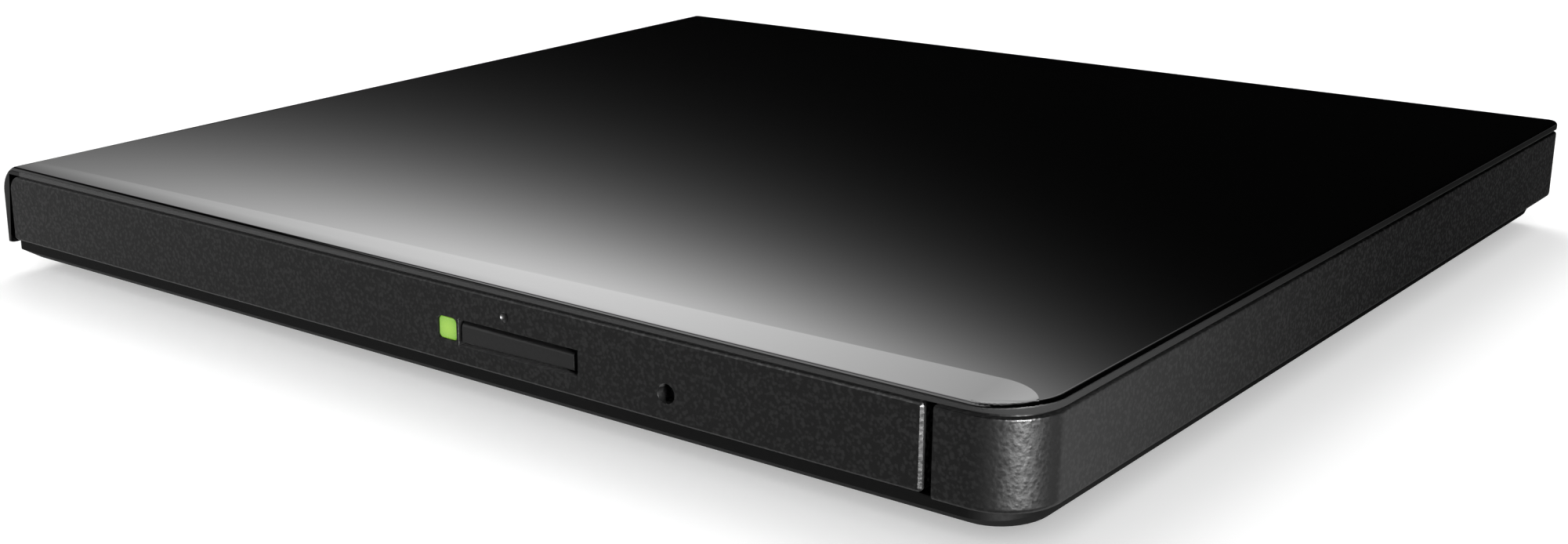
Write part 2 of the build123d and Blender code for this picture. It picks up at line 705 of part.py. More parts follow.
def disc_tray():
    """The tray with the disc's well, grooves for the rails and room for the traverse."""
    tray = rounded_slab(
        (TRAY_LEFT, TRAY_RIGHT), (TRAY_FRONT, TRAY_BACK), (TRAY_LOW, DECK_TOP),
        FIT_GAP, FIT_GAP, TRAY_CORNER_RADIUS, TRAY_CORNER_RADIUS,
    )
    tray -= column(SPINDLE_X, SPINDLE_Y, WELL_RADIUS, (WELL_TOP, DECK_TOP + 1))
    tray -= underside_hollow(TRAY_LOW - 1, WELL_LOW)
    deck_hollow = underside_hollow(WELL_LOW - 1, DECK_LOW)
    deck_hollow -= column(SPINDLE_X, SPINDLE_Y, WELL_RADIUS + WELL_WALL, (WELL_LOW - 2, DECK_TOP))
    tray -= deck_hollow
    tray -= rail_grooves()
    tray -= traverse_opening()
    tray -= front_pocket()
    tray -= span(
        (POST_X - POST_RADIUS - PLAY, POST_X + POST_RADIUS + PLAY),
        (POST_Y, TRAY_BACK + 1),
        (TRAY_LOW - 1, CHASSIS_FLOOR_TOP + POST_HEIGHT + PLAY),
    )
    tray += span(
        (PIVOT_X - LATCH_HUB_RADIUS, PIVOT_X + LATCH_HUB_RADIUS),
        (TRAY_FRONT, PIVOT_Y + LATCH_HUB_RADIUS),
        (LATCH_LOW + LATCH_THICK + PLAY, DECK_LOW),
    )
    tray += column(PIVOT_X, PIVOT_Y, LATCH_PIN_RADIUS, (TRAY_LOW, WELL_LOW))
    for x, y in bush_places():
        hole = column(x, y, SMALL_SCREW_RADIUS + SCREW_FIT, (WELL_LOW - 1, WELL_TOP - PLAY))
        tray -= on_traverse(hole)
    for x, y in drive_board_screw_places():
        tray -= column(x, y, SMALL_SCREW_RADIUS + SCREW_FIT, (WELL_LOW - 1, WELL_TOP - PLAY))
    return tray


def underside_hollow(low, high):
    """The space inside the tray's rims."""
    return span(
        (TRAY_LEFT + TRAY_RIM, TRAY_RIGHT - TRAY_RIM),
        (TRAY_FRONT + TRAY_RIM / 2, TRAY_BACK - TRAY_RIM),
        (low, high),
    )


def rail_grooves():
    """A groove in each side of the tray for the tongue of the slide rail."""
    y = (TRAY_FRONT - 1, TRAY_BACK + 1)
    right = span((TRAY_RIGHT - GROOVE_DEPTH, TRAY_RIGHT + 1), y, (CORE_LOW, CORE_TOP))
    return right + to_left(right)


def traverse_opening():
    """The hole through the well's floor for the spindle, the pickup and the sled motor."""
    room = PLAY + WINDOW_MARGIN
    top = DECK_LOW
    window = span(
        (WINDOW_START - room, WINDOW_END + room / 2), (-WINDOW_SIDE, WINDOW_SCREW_SIDE), (TRAY_LOW - 1, top)
    )
    window += column(0, 0, TURNTABLE_RADIUS + room, (TRAY_LOW - 1, top))
    end_side = (LEAD_SCREW_SIDE - LEAD_SCREW_RADIUS - room, WINDOW_SCREW_SIDE)
    window += span((WINDOW_START - END_BLOCK - room, WINDOW_START), end_side, (TRAY_LOW - 1, top))
    return on_traverse(window) & span(
        (TRAY_LEFT + TRAY_RIM, TRAY_RIGHT), (TRAY_FRONT + TRAY_RIM / 2, TRAY_BACK), (TRAY_LOW - 1, top)
    )


def front_pocket():
    """Room behind the bezel for the light, the eject switch and their board."""
    x = (LIGHT_LEFT - 2 * PLAY, LIGHT_LEFT + TRAY_BOARD_WIDTH + 3 * PLAY)
    y = (TRAY_FRONT - 1, TRAY_FRONT + TRAY_BOARD_DEPTH + 2 * PLAY)
    pocket = span(x, y, (TRAY_LOW - 1, DECK_LOW))
    pin = bar_along_y(PIN_HOLE_X, PIN_HOLE_Z, PIN_HOLE_RADIUS + PLAY, (TRAY_FRONT - 1, TRAY_FRONT + TRAY_RIM))
    return pocket + pin


def front_bezel():
    """The tray's front, with openings for the light, the button and the release pin."""
    bezel = span((BEZEL_LEFT, BEZEL_RIGHT), (FRONT, TRAY_FRONT), (BEZEL_LOW, BEZEL_TOP))
    corners = bezel.edges().filter_by(Axis.Y)
    bezel = fillet(corners.sort_by_distance((BEZEL_LEFT, FRONT, BEZEL_TOP))[0], BEZEL_CORNER_RADIUS)
    front_edges = bezel.faces().sort_by(Axis.Y)[0].edges()
    bezel = chamfer(front_edges, BEZEL_EDGE)
    bezel -= span(
        (BEZEL_LEFT + BEZEL_RIM + BEZEL_CORNER_RADIUS / 2, BEZEL_RIGHT - BEZEL_RIM),
        (FRONT + BEZEL_FACE, TRAY_FRONT + 1),
        (BEZEL_LOW + BEZEL_RIM, BEZEL_TOP - BEZEL_RIM),
    )
    through = (FRONT - 1, FRONT + BEZEL_FACE + 1)
    gap = BUTTON_GAP
    bezel -= span(
        (BUTTON_LEFT - gap, BUTTON_LEFT + BUTTON_WIDTH + gap), through,
        (BUTTON_LOW - gap, BUTTON_LOW + BUTTON_HEIGHT + gap),
    )
    gap = LIGHT_GAP
    bezel -= span(
        (LIGHT_LEFT - gap, LIGHT_LEFT + LIGHT_WIDTH + gap), through,
        (LIGHT_LOW - gap, LIGHT_LOW + LIGHT_HEIGHT + gap),
    )
    bezel -= bar_along_y(PIN_HOLE_X, PIN_HOLE_Z, PIN_HOLE_RADIUS, through)
    return bezel


def light_pipe():
    """The clear window in the bezel, with a stem back to the lamp."""
    back = FRONT + BEZEL_FACE
    middle = LIGHT_LEFT + LIGHT_WIDTH / 2
    head = span(
        (LIGHT_LEFT, LIGHT_LEFT + LIGHT_WIDTH), (FRONT + FIT_GAP, back), (LIGHT_LOW, LIGHT_LOW + LIGHT_HEIGHT)
    )
    stem = span(
        (middle - LIGHT_STEM / 2, middle + LIGHT_STEM / 2),
        (back, TRAY_FRONT + BEZEL_FACE / 2),
        (LIGHT_LOW, LIGHT_LOW + LIGHT_STEM),
    )
    return head + stem


def eject_button():
    """The eject button, held behind the bezel by its flange."""
    x = (BUTTON_LEFT, BUTTON_LEFT + BUTTON_WIDTH)
    z = (BUTTON_LOW, BUTTON_LOW + BUTTON_HEIGHT)
    flange_front = FRONT + BEZEL_FACE + FIT_GAP * 2
    cap = span(x, (FRONT + FIT_GAP, flange_front), z)
    cap = fillet(cap.faces().sort_by(Axis.Y)[0].edges(), BEZEL_EDGE)
    reach = BUTTON_GAP + BUTTON_FLANGE
    flange = span((x[0] - reach, x[1] + reach), (flange_front, flange_front + BUTTON_FLANGE_THICK), z)
    middle = (x[0] + x[1]) / 2
    back = flange_front + BUTTON_FLANGE_THICK
    stem = span(
        (middle - BUTTON_STEM / 2, middle + BUTTON_STEM / 2), (back, back + BUTTON_STEM_LENGTH),
        (z[0], z[0] + BUTTON_HEIGHT / 2),
    )
    return cap + flange + stem


def tray_board_y():
    """Front and back of the small board behind the bezel."""
    front = TRAY_FRONT + PLAY
    return front, front + TRAY_BOARD_DEPTH


def tray_board_z():
    """Underside and top of the small board behind the bezel."""
    top = BUTTON_LOW - PLAY * 2
    return top - BOARD_THICK, top


def tray_board():
    """The small board for the light and the eject switch."""
    low, top = tray_board_z()
    x = (LIGHT_LEFT - PLAY, LIGHT_LEFT + TRAY_BOARD_WIDTH + PLAY * 2)
    return span(x, tray_board_y(), (low, top))


def indicator_led():
    """The lamp behind the light pipe."""
    top = tray_board_z()[1]
    middle = LIGHT_LEFT + LIGHT_WIDTH / 2
    front = TRAY_FRONT + BEZEL_FACE / 2 + FIT_GAP
    return span(
        (middle - LIGHT_STEM / 2, middle + LIGHT_STEM / 2), (front, front + LED_DEPTH), (top, top + LIGHT_STEM)
    )


def button_switch():
    """The small switch that the eject button presses."""
    top = tray_board_z()[1]
    middle = BUTTON_LEFT + BUTTON_WIDTH / 2
    stem_end = FRONT + BEZEL_FACE + FIT_GAP * 2 + BUTTON_FLANGE_THICK + BUTTON_STEM_LENGTH
    face = stem_end + BUTTON_TRAVEL + PLAY
    back = tray_board_y()[1]
    half = SWITCH_WIDTH / 2
    knob_half = SWITCH_KNOB_WIDTH / 2
    body = span((middle - half, middle + half), (face, back), (top, BUTTON_LOW + BUTTON_HEIGHT / 2 + PLAY))
    knob = span(
        (middle - knob_half, middle + knob_half), (face - PLAY + FIT_GAP, face),
        (top + PLAY, BUTTON_LOW + BUTTON_HEIGHT / 2),
    )
    return body + knob


# Traverse under the disc

def within_tray(shape, margin):
    """Trims a traverse piece to what fits inside the tray's rims."""
    limits = span(
        (TRAY_LEFT + TRAY_RIM + margin, TRAY_RIGHT - TRAY_RIM - margin),
        (TRAY_FRONT + TRAY_RIM / 2 + margin, TRAY_BACK - TRAY_RIM - margin),
        (0, HEIGHT),
    )
    return shape & limits


def bush_places():
    """The three points where rubber bushes carry the traverse, in its own axes."""
    return ((-BUSH_BACK, BUSH_SIDE), (-BUSH_BACK, -BUSH_SIDE), (BUSH_OUT, 0))


def traverse_frame():
    """The plate that carries the spindle, the rods and the sled motor."""
    z = (FRAME_LOW, FRAME_TOP)
    frame = span((-FRAME_BACK, FRAME_OUT), (-FRAME_SIDE, FRAME_SCREW_SIDE), z)
    frame -= column(0, 0, MOTOR_BASE_RADIUS + RUNNING_FIT, (0, HEIGHT))
    for side in (-ROD_SIDE, ROD_SIDE):
        ends = (WINDOW_START - ROD_SEAT - RUNNING_FIT, WINDOW_END + ROD_SEAT + RUNNING_FIT)
        frame -= bar_along_x(side, ROD_Z, ROD_RADIUS + SCREW_FIT, ends)
    for x, y in bush_places():
        frame -= column(x, y, BUSH_RADIUS + SCREW_FIT, (0, HEIGHT))
    end = span(
        (WINDOW_START - END_BLOCK, WINDOW_START),
        (LEAD_SCREW_SIDE - LEAD_SCREW_RADIUS - NUT_WALL, LEAD_SCREW_SIDE + LEAD_SCREW_RADIUS + NUT_WALL),
        (FRAME_TOP, SLED_MOTOR_Z + LEAD_SCREW_RADIUS + NUT_WALL),
    )
    frame += end
    bearing = (WINDOW_START - END_BLOCK / 2, WINDOW_START + 1)
    frame -= bar_along_x(LEAD_SCREW_SIDE, SLED_MOTOR_Z, LEAD_SCREW_RADIUS + RUNNING_FIT, bearing)
    window = span((WINDOW_START, WINDOW_END), (-WINDOW_SIDE, WINDOW_SCREW_SIDE), (0, FRAME_TOP))
    open_window = within_tray(on_traverse(window), PLAY + FRAME_CORNER_BAR)
    return within_tray(on_traverse(frame), PLAY) - open_window


def damper_bushes():
    """Rubber bushes between the traverse and the tray."""
    bushes = []
    for x, y in bush_places():
        bush = column(x, y, BUSH_RADIUS, (WELL_LOW - BUSH_HEIGHT, WELL_LOW))
        bush -= column(x, y, SMALL_SCREW_RADIUS + SCREW_FIT, (0, HEIGHT))
        bushes.append(on_traverse(bush))
    return Compound(children=bushes)


def traverse_screws():
    """Screws up through the bushes into the tray."""
    head_low = WELL_LOW - BUSH_HEIGHT - SMALL_HEAD
    length = BUSH_HEIGHT + WELL_FLOOR - 2 * PLAY
    return Compound(children=[
        on_traverse(screw(x, y, head_low, SMALL_SCREW_RADIUS, SMALL_HEAD_RADIUS, SMALL_HEAD, length))
        for x, y in bush_places()
    ])


def bottom_shield():
    """The thin sheet under the traverse."""
    shield = span((-FRAME_BACK, FRAME_OUT), (-FRAME_SIDE, FRAME_SCREW_SIDE), (TRAY_LOW, SHIELD_TOP))
    for x, y in bush_places():
        shield -= column(x, y, BUSH_RADIUS, (0, HEIGHT))
    motor_start = SLED_MOTOR_START - PLAY * 2
    shield -= span((motor_start, FRAME_OUT + 1), (WINDOW_SIDE - 1, FRAME_SCREW_SIDE + 1), (0, HEIGHT))
    return within_tray(on_traverse(shield), PLAY)


def guide_rod(side):
    """A polished rod that the sled runs on."""
    return on_traverse(bar_along_x(side, ROD_Z, ROD_RADIUS, (WINDOW_START - ROD_SEAT, WINDOW_END + ROD_SEAT)))


def spindle_motor_base():
    """The stator plate and shaft of the disc motor."""
    base = column(0, 0, MOTOR_BASE_RADIUS, (FRAME_LOW, FRAME_LOW + MOTOR_BASE_THICK))
    base += column(0, 0, SHAFT_RADIUS, (FRAME_LOW, TURNTABLE_LOW - PLAY))
    return on_traverse(base)


def spindle_rotor():
    """The bell of the disc motor."""
    rotor = column(0, 0, ROTOR_RADIUS, (ROTOR_LOW, TURNTABLE_LOW))
    rotor -= column(0, 0, SHAFT_RADIUS + RUNNING_FIT, (ROTOR_LOW - 1, TURNTABLE_LOW + 1))
    return on_traverse(rotor)


def turntable():
    """The rubber ring that the disc lies on."""
    return on_traverse(column(0, 0, TURNTABLE_RADIUS, (TURNTABLE_LOW, DISC_PLANE)))


def hub_radius():
    """The hub's radius, from the disc's hole and the clearance in it."""
    return DISC_HOLE_RADIUS - HUB_CLEARANCE


def hub_cap():
    """The hub that centres the disc, with pockets for the balls."""
    cap = column(0, 0, hub_radius(), (DISC_PLANE, DISC_PLANE + HUB_HEIGHT))
    cap = chamfer(cap.edges().sort_by(Axis.Z)[-1], HUB_CHAMFER)
    for ball in ball_places():
        cap -= ball * bar_along_x(0, 0, BALL_RADIUS + SCREW_FIT, (-BALL_RADIUS - SCREW_FIT, hub_radius()))
    return on_traverse(cap)


def ball_places():
    """Where the three sprung balls sit in the hub."""
    reach = hub_radius() - BALL_RADIUS - SCREW_FIT
    level = DISC_PLANE + HUB_HEIGHT / 2 - FIT_GAP
    return [Rot(0, 0, 120 * index) * Pos(reach, 0, level) for index in range(3)]


def hub_balls():
    """Three balls that grip the disc's hole."""
    return Compound(children=[on_traverse(ball * Sphere(BALL_RADIUS)) for ball in ball_places()])


# Pickup

def pickup_sled():
    """The sled with the optics, on the two guide rods."""
    x = (LENS_INNER_RADIUS - SLED_IN, LENS_INNER_RADIUS + SLED_OUT)
    sled = span(x, (-SLED_SIDE, SLED_SIDE), (SLED_LOW, SLED_TOP))
    ear_x = (x[0], LENS_INNER_RADIUS + SLED_EAR_OUT)
    ears = span(ear_x, (-SLED_EAR, SLED_EAR), (FRAME_LOW, FRAME_LOW + SLED_EAR_HEIGHT))
    sled += ears
    for side in (-ROD_SIDE, ROD_SIDE):
        sled -= bar_along_x(side, ROD_Z, ROD_RADIUS + RUNNING_FIT, (x[0] - 1, x[1] + 1))
    sled -= column(LENS_INNER_RADIUS, 0, LENS_POCKET, (lens_holder_low() - FOCUS_TRAVEL - PLAY, HEIGHT))
    return on_traverse(sled)


def lens_holder_low():
    """Underside of the lens holder at rest."""
    return SLED_TOP + PICKUP_COVER + FOCUS_TRAVEL - LENS_HOLDER_HEIGHT


def pickup_cover():
    """The bright sheet over the sled, open round the lens."""
    x = (LENS_INNER_RADIUS - SLED_IN + PLAY, LENS_INNER_RADIUS + SLED_OUT - PLAY)
    cover = span(x, (-SLED_SIDE + PLAY, SLED_SIDE - PLAY), (SLED_TOP, SLED_TOP + PICKUP_COVER))
    cover -= column(LENS_INNER_RADIUS, 0, LENS_POCKET, (0, HEIGHT))
    return on_traverse(cover)


def sled_nut():
    """The nut on the sled that the lead screw drives."""
    start = LENS_INNER_RADIUS - SLED_IN
    reach = LEAD_SCREW_RADIUS + NUT_WALL
    z = (SLED_LOW + PLAY, SLED_MOTOR_Z + reach)
    nut = span((start, start + NUT_LENGTH), (SLED_EAR, LEAD_SCREW_SIDE + reach), z)
    nut -= bar_along_x(LEAD_SCREW_SIDE, SLED_MOTOR_Z, LEAD_SCREW_RADIUS + RUNNING_FIT, (0, WINDOW_END))
    return on_traverse(nut)


def lens_holder():
    """The round holder that focuses the lens."""
    z = (lens_holder_low(), lens_holder_low() + LENS_HOLDER_HEIGHT)
    holder = column(LENS_INNER_RADIUS, 0, LENS_HOLDER_RADIUS, z)
    holder -= column(LENS_INNER_RADIUS, 0, LENS_RADIUS + SCREW_FIT, (z[1] - LENS_HEIGHT / 2, HEIGHT))
    return on_traverse(holder)


def objective_lens():
    """The domed lens in its holder."""
    low = lens_holder_low() + LENS_HOLDER_HEIGHT - LENS_HEIGHT / 2
    lens = column(LENS_INNER_RADIUS, 0, LENS_RADIUS, (low, low + LENS_HEIGHT))
    return on_traverse(fillet(lens.edges().sort_by(Axis.Z)[-1], LENS_HEIGHT / 2))


def lead_screw():
    """The screw that moves the sled, between its end block and its motor."""
    x = (WINDOW_START - END_BLOCK / 2 + PLAY, SLED_MOTOR_START - PLAY)
    return on_traverse(bar_along_x(LEAD_SCREW_SIDE, SLED_MOTOR_Z, LEAD_SCREW_RADIUS, x))


def sled_motor():
    """The small motor that turns the lead screw."""
    x = (SLED_MOTOR_START, SLED_MOTOR_START + SLED_MOTOR_LENGTH)
    return on_traverse(bar_along_x(LEAD_SCREW_SIDE, SLED_MOTOR_Z, SLED_MOTOR_RADIUS, x))


# Latch

def latch_lever():
    """The lever that holds the tray shut, shown swung clear of its post."""
    z = (LATCH_LOW, LATCH_LOW + LATCH_THICK)
    arm_x = (-LATCH_WIDTH / 2 + FIT_GAP, LATCH_WIDTH / 2 + FIT_GAP)
    hook_y = LATCH_PIVOT_AHEAD + POST_RADIUS + PLAY
    lever = column(0, 0, LATCH_HUB_RADIUS, z)
    lever += span(arm_x, (0, hook_y + LATCH_WIDTH), z)
    lever += span((-LATCH_PIVOT_RIGHT, arm_x[1]), (hook_y, hook_y + LATCH_WIDTH), z)
    tail = PIN_HOLE_X - PIVOT_X
    tail_y = (-LATCH_WIDTH / 2, LATCH_WIDTH / 2)
    lever += span((tail - LATCH_TAB / 2, 0), tail_y, z)
    tab_top = PIN_HOLE_Z + PIN_HOLE_RADIUS / 2
    lever += span((tail - LATCH_TAB / 2, tail + LATCH_TAB / 2), tail_y, (z[0], tab_top))
    lever -= column(0, 0, LATCH_PIN_RADIUS + RUNNING_FIT, (0, HEIGHT))
    return Location((PIVOT_X, PIVOT_Y, 0), (0, 0, -LATCH_SWING)) * lever


def solenoid_corner():
    """Front left corner of the latch's solenoid, inside the tray's right rim."""
    left = TRAY_RIGHT - TRAY_RIM - PLAY - SOLENOID_WIDTH
    front = POST_Y + LATCH_PIVOT_AHEAD + POST_RADIUS + LATCH_WIDTH
    return left, front


def latch_solenoid():
    """The solenoid that swings the latch when the drive ejects."""
    left, front = solenoid_corner()
    right = left + SOLENOID_WIDTH
    z = (WELL_LOW - BUSH_HEIGHT, DECK_LOW)
    body = span((left, right), (front, front + SOLENOID_LENGTH), z)
    core = bar_along_y((left + right) / 2, (z[0] + z[1]) / 2, SHAFT_RADIUS / 2, (front - SHAFT_RADIUS, front))
    return body + core


# Boards, connectors and the eject plunger

def board_screw_places():
    """Two screws that hold the bridge board on the pan's posts."""
    arm_x = RIGHT - CASE_WALL - RIGHT_SPACE / 2
    strip_y = CHASSIS_REAR + BOARD_STRIP / 2
    inset = BOARD_SCREW_INSET
    return ((arm_x, BACK - BOARD_ARM_LENGTH + inset), (SPINDLE_X - BOARD_LEFT_REACH + inset, strip_y))


def bridge_board():
    """The L-shaped board behind and beside the drive."""
    z = (BRIDGE_LOW, BRIDGE_TOP)
    arm_middle = RIGHT - CASE_WALL - RIGHT_SPACE / 2
    arm_x = (arm_middle - BOARD_ARM_WIDTH / 2, arm_middle + BOARD_ARM_WIDTH / 2)
    strip_y = (CHASSIS_REAR + PLAY, CHASSIS_REAR + PLAY + BOARD_STRIP)
    board = span((SPINDLE_X - BOARD_LEFT_REACH, arm_x[1]), strip_y, z)
    board += span(arm_x, (BACK - BOARD_ARM_LENGTH, strip_y[1]), z)
    for x, y in board_screw_places():
        board -= column(x, y, SMALL_SCREW_RADIUS + SCREW_FIT, (0, HEIGHT))
    return board


def board_screws():
    """Two small screws, heads up, through the bridge board."""
    screws = []
    for x, y in board_screw_places():
        head = column(x, y, SMALL_HEAD_RADIUS, (BRIDGE_TOP, BRIDGE_TOP + SMALL_HEAD))
        screws.append(head + column(x, y, SMALL_SCREW_RADIUS, (PAN_FLOOR_TOP - PLAY, BRIDGE_TOP)))
    return Compound(children=screws)


def chip_at(x, y, width, length, z):
    """A chip centred across X that starts at a place along Y."""
    return span((x - width / 2, x + width / 2), (y, y + length), z)


def bridge_board_chips():
    """The bridge chip, its crystal and a row of small parts on the board's arm."""
    x = RIGHT - CASE_WALL - RIGHT_SPACE / 2
    y = BACK - BOARD_ARM_LENGTH + CHIP_ROW_START
    z = (BRIDGE_TOP, BRIDGE_TOP + CHIP_HEIGHT)
    chips = [chip_at(x, y, BRIDGE_CHIP_SIZE, BRIDGE_CHIP_SIZE, z)]
    y += BRIDGE_CHIP_SIZE + CHIP_ROW_GAP
    chips.append(chip_at(x, y, CRYSTAL_WIDTH, CRYSTAL_LENGTH, z))
    y += CRYSTAL_LENGTH + CHIP_ROW_GAP
    for index in range(CAPACITOR_COUNT):
        chips.append(chip_at(x, y + CHIP_ROW_GAP * index, CAPACITOR_WIDTH, CAPACITOR_LENGTH, z))
    return Compound(children=chips)


def connector_x():
    """Left and right ends of the drive's connector."""
    return SPINDLE_X - DRIVE_CONNECTOR_WIDTH / 2, SPINDLE_X + DRIVE_CONNECTOR_WIDTH / 2


def connector_z():
    """Underside and top of the drive's connector."""
    low = BRIDGE_TOP + PLAY
    return low, low + DRIVE_CONNECTOR_HEIGHT


def drive_connector():
    """The connector on the back of the drive."""
    return span(connector_x(), (CHASSIS_REAR, CHASSIS_REAR + DRIVE_CONNECTOR_DEPTH), connector_z())


def bridge_connector():
    """The connector on the bridge board that meets the drive's."""
    y = (CHASSIS_REAR + DRIVE_CONNECTOR_DEPTH, CHASSIS_REAR + PLAY + BOARD_STRIP)
    return span(connector_x(), y, (BRIDGE_TOP, connector_z()[1]))


def usb_centre_x():
    """Middle of the USB socket."""
    return RIGHT - USB_FROM_RIGHT


def usb_socket_shell():
    """The folded metal shell of the USB socket, open to the back."""
    x = usb_centre_x()
    half = USB_WIDTH / 2
    y = (BACK - FIT_GAP - USB_DEPTH, BACK - FIT_GAP)
    shell = span((x - half, x + half), y, (BRIDGE_TOP, BRIDGE_TOP + USB_HEIGHT))
    shell -= span(
        (x - half + USB_SHELL, x + half - USB_SHELL), (y[0] + USB_SHELL, y[1] + 1),
        (BRIDGE_TOP + USB_SHELL, BRIDGE_TOP + USB_HEIGHT - USB_SHELL),
    )
    return shell


def usb_socket_insert():
    """The contact tongue inside the USB socket."""
    x = usb_centre_x()
    front = BACK - FIT_GAP - USB_DEPTH + USB_SHELL
    low = BRIDGE_TOP + USB_SHELL
    middle = BRIDGE_TOP + USB_HEIGHT / 2
    half = USB_BLOCK_WIDTH / 2
    block = span(
        (x - half, x + half), (front, front + USB_BLOCK_DEPTH), (low, BRIDGE_TOP + USB_HEIGHT - USB_SHELL)
    )
    half = USB_TONGUE_WIDTH / 2
    tongue = span(
        (x - half, x + half), (front + USB_BLOCK_DEPTH, BACK - USB_TONGUE_RECESS),
        (middle - USB_TONGUE_THICK / 2, middle + USB_TONGUE_THICK / 2),
    )
    return block + tongue


def drive_board_corner():
    """Front left corner of the board under the tray."""
    left = SPINDLE_X + DRIVE_BOARD_OFFSET
    back = TRAY_BACK - TRAY_RIM - PLAY
    return left, back - DRIVE_BOARD_LENGTH


def drive_board_screw_places():
    """Two screws that hold that board to the tray."""
    left, front = drive_board_corner()
    inset = DRIVE_BOARD_SCREW_INSET
    return ((left + inset, front + inset), (left + inset, front + DRIVE_BOARD_LENGTH - inset))


def drive_circuit_board():
    """The drive's own board, under the well's floor."""
    left, front = drive_board_corner()
    z = (WELL_LOW - BOARD_THICK, WELL_LOW)
    board = span((left, left + DRIVE_BOARD_WIDTH), (front, front + DRIVE_BOARD_LENGTH), z)
    for x, y in drive_board_screw_places():
        board -= column(x, y, SMALL_SCREW_RADIUS + SCREW_FIT, (0, HEIGHT))
    return board


def drive_board_screws():
    """Two small screws up through that board."""
    head_low = WELL_LOW - BOARD_THICK - SMALL_HEAD
    length = BOARD_THICK + WELL_FLOOR - 2 * PLAY
    return Compound(children=[
        screw(x, y, head_low, SMALL_SCREW_RADIUS, SMALL_HEAD_RADIUS, SMALL_HEAD, length)
        for x, y in drive_board_screw_places()
    ])


def drive_board_chips():
    """Controller, motor driver and memory on the underside of that board."""
    left, front = drive_board_corner()
    top = WELL_LOW - BOARD_THICK
    z = (top - CHIP_HEIGHT, top)
    first_x = left + DRIVE_CHIP_INSET + CONTROLLER_SIZE / 2
    first_y = front + DRIVE_CHIP_INSET
    second_y = first_y + DRIVER_LENGTH + CHIP_ROW_GAP
    return Compound(children=[
        chip_at(first_x, first_y, DRIVER_WIDTH, DRIVER_LENGTH, z),
        chip_at(first_x, second_y, CONTROLLER_SIZE, CONTROLLER_SIZE, z),
        chip_at(first_x + CONTROLLER_SIZE, second_y, MEMORY_WIDTH, MEMORY_LENGTH, z),
    ])


def flex_cable():
    """The stretch of flat cable that lies on the chassis floor."""
    x = (SPINDLE_X - FLEX_WIDTH / 2, SPINDLE_X + FLEX_WIDTH / 2)
    y = (CHASSIS_INNER_BACK - FLEX_LENGTH, CHASSIS_INNER_BACK)
    return span(x, y, (CHASSIS_FLOOR_TOP, CHASSIS_FLOOR_TOP + FLEX_THICK))


def plunger_place_x():
    """Middle of the eject plunger, left of the spindle."""
    return SPINDLE_X - PLUNGER_FROM_SPINDLE


def plunger_z():
    """Height of the eject plunger."""
    return (TRAY_LOW + WELL_LOW) / 2


def eject_plunger():
    """The sprung pin that starts the tray on its way out."""
    x = plunger_place_x()
    tip = TRAY_BACK + FIT_GAP
    end = CHASSIS_REAR + PLUNGER_LENGTH
    pin = bar_along_y(x, plunger_z(), PLUNGER_RADIUS, (tip, end))
    return pin + bar_along_y(x, plunger_z(), PLUNGER_HEAD_RADIUS, (end, end + PLAY))


def eject_spring():
    """The coil spring round the plunger, behind the chassis."""
    height = PLUNGER_LENGTH - 2 * SPRING_WIRE - 2 * FIT_GAP
    path = Helix(height / SPRING_TURNS, height, SPRING_RADIUS)
    wire = Plane(path @ 0, z_dir=path % 0) * Circle(SPRING_WIRE)
    coil = sweep(wire, path, is_frenet=True)
    start = CHASSIS_REAR + SPRING_WIRE + FIT_GAP
    return Pos(plunger_place_x(), start, plunger_z()) * Rot(-90, 0, 0) * coil


NODES = {
    "top_cover": top_cover,
    "case_body": case_body,
    "bottom_cover": bottom_cover,
    "rubber_feet": rubber_feet,
    "case_screws": case_screws,
    "lower_pads": lambda: pads((PAN_FLOOR_TOP, CHASSIS_LOW)),
    "upper_pads": lambda: pads((TOP_PLATE_TOP, COVER_LOW)),
    "drive_chassis": drive_chassis,
    "drive_top_plate": drive_top_plate,
    "chassis_screws": chassis_screws,
    "latch_post": latch_post,
    "fixed_rail_left": lambda: to_left(fixed_rail_right()),
    "fixed_rail_right": fixed_rail_right,
    "slide_rail_left": lambda: to_left(slide_rail_right()),
    "slide_rail_right": slide_rail_right,
    "disc_tray": disc_tray,
    "front_bezel": front_bezel,
    "light_pipe": light_pipe,
    "eject_button": eject_button,
    "tray_board": tray_board,
    "indicator_led": indicator_led,
    "button_switch": button_switch,
    "traverse_frame": traverse_frame,
    "damper_bushes": damper_bushes,
    "traverse_screws": traverse_screws,
    "bottom_shield": bottom_shield,
    "guide_rod_front": lambda: guide_rod(ROD_SIDE),
    "guide_rod_rear": lambda: guide_rod(-ROD_SIDE),
    "spindle_motor_base": spindle_motor_base,
    "spindle_rotor": spindle_rotor,
    "turntable": turntable,
    "hub_cap": hub_cap,
    "hub_balls": hub_balls,
    "pickup_sled": pickup_sled,
    "pickup_cover": pickup_cover,
    "sled_nut": sled_nut,
    "lens_holder": lens_holder,
    "objective_lens": objective_lens,
    "lead_screw": lead_screw,
    "sled_motor": sled_motor,
    "latch_lever": latch_lever,
    "latch_solenoid": latch_solenoid,
    "bridge_board": bridge_board,
    "bridge_board_chips": bridge_board_chips,
    "board_screws": board_screws,
    "drive_connector": drive_connector,
    "bridge_connector": bridge_connector,
    "usb_socket_shell": usb_socket_shell,
    "usb_socket_insert": usb_socket_insert,
    "drive_circuit_board": drive_circuit_board,
    "drive_board_screws": drive_board_screws,
    "drive_board_chips": drive_board_chips,
    "flex_cable": flex_cable,
    "eject_plunger": eject_plunger,
    "eject_spring": eject_spring,
}

os.makedirs("parts", exist_ok=True)
for name, make in NODES.items():
    export_step(make(), f"parts/{name}.step")
print(f"width {WIDTH:.2f}, depth {DEPTH:.2f}, height {HEIGHT:.2f}")
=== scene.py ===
"""Looks of the slim external disc drive: modelled pieces, finishes, studio and camera."""

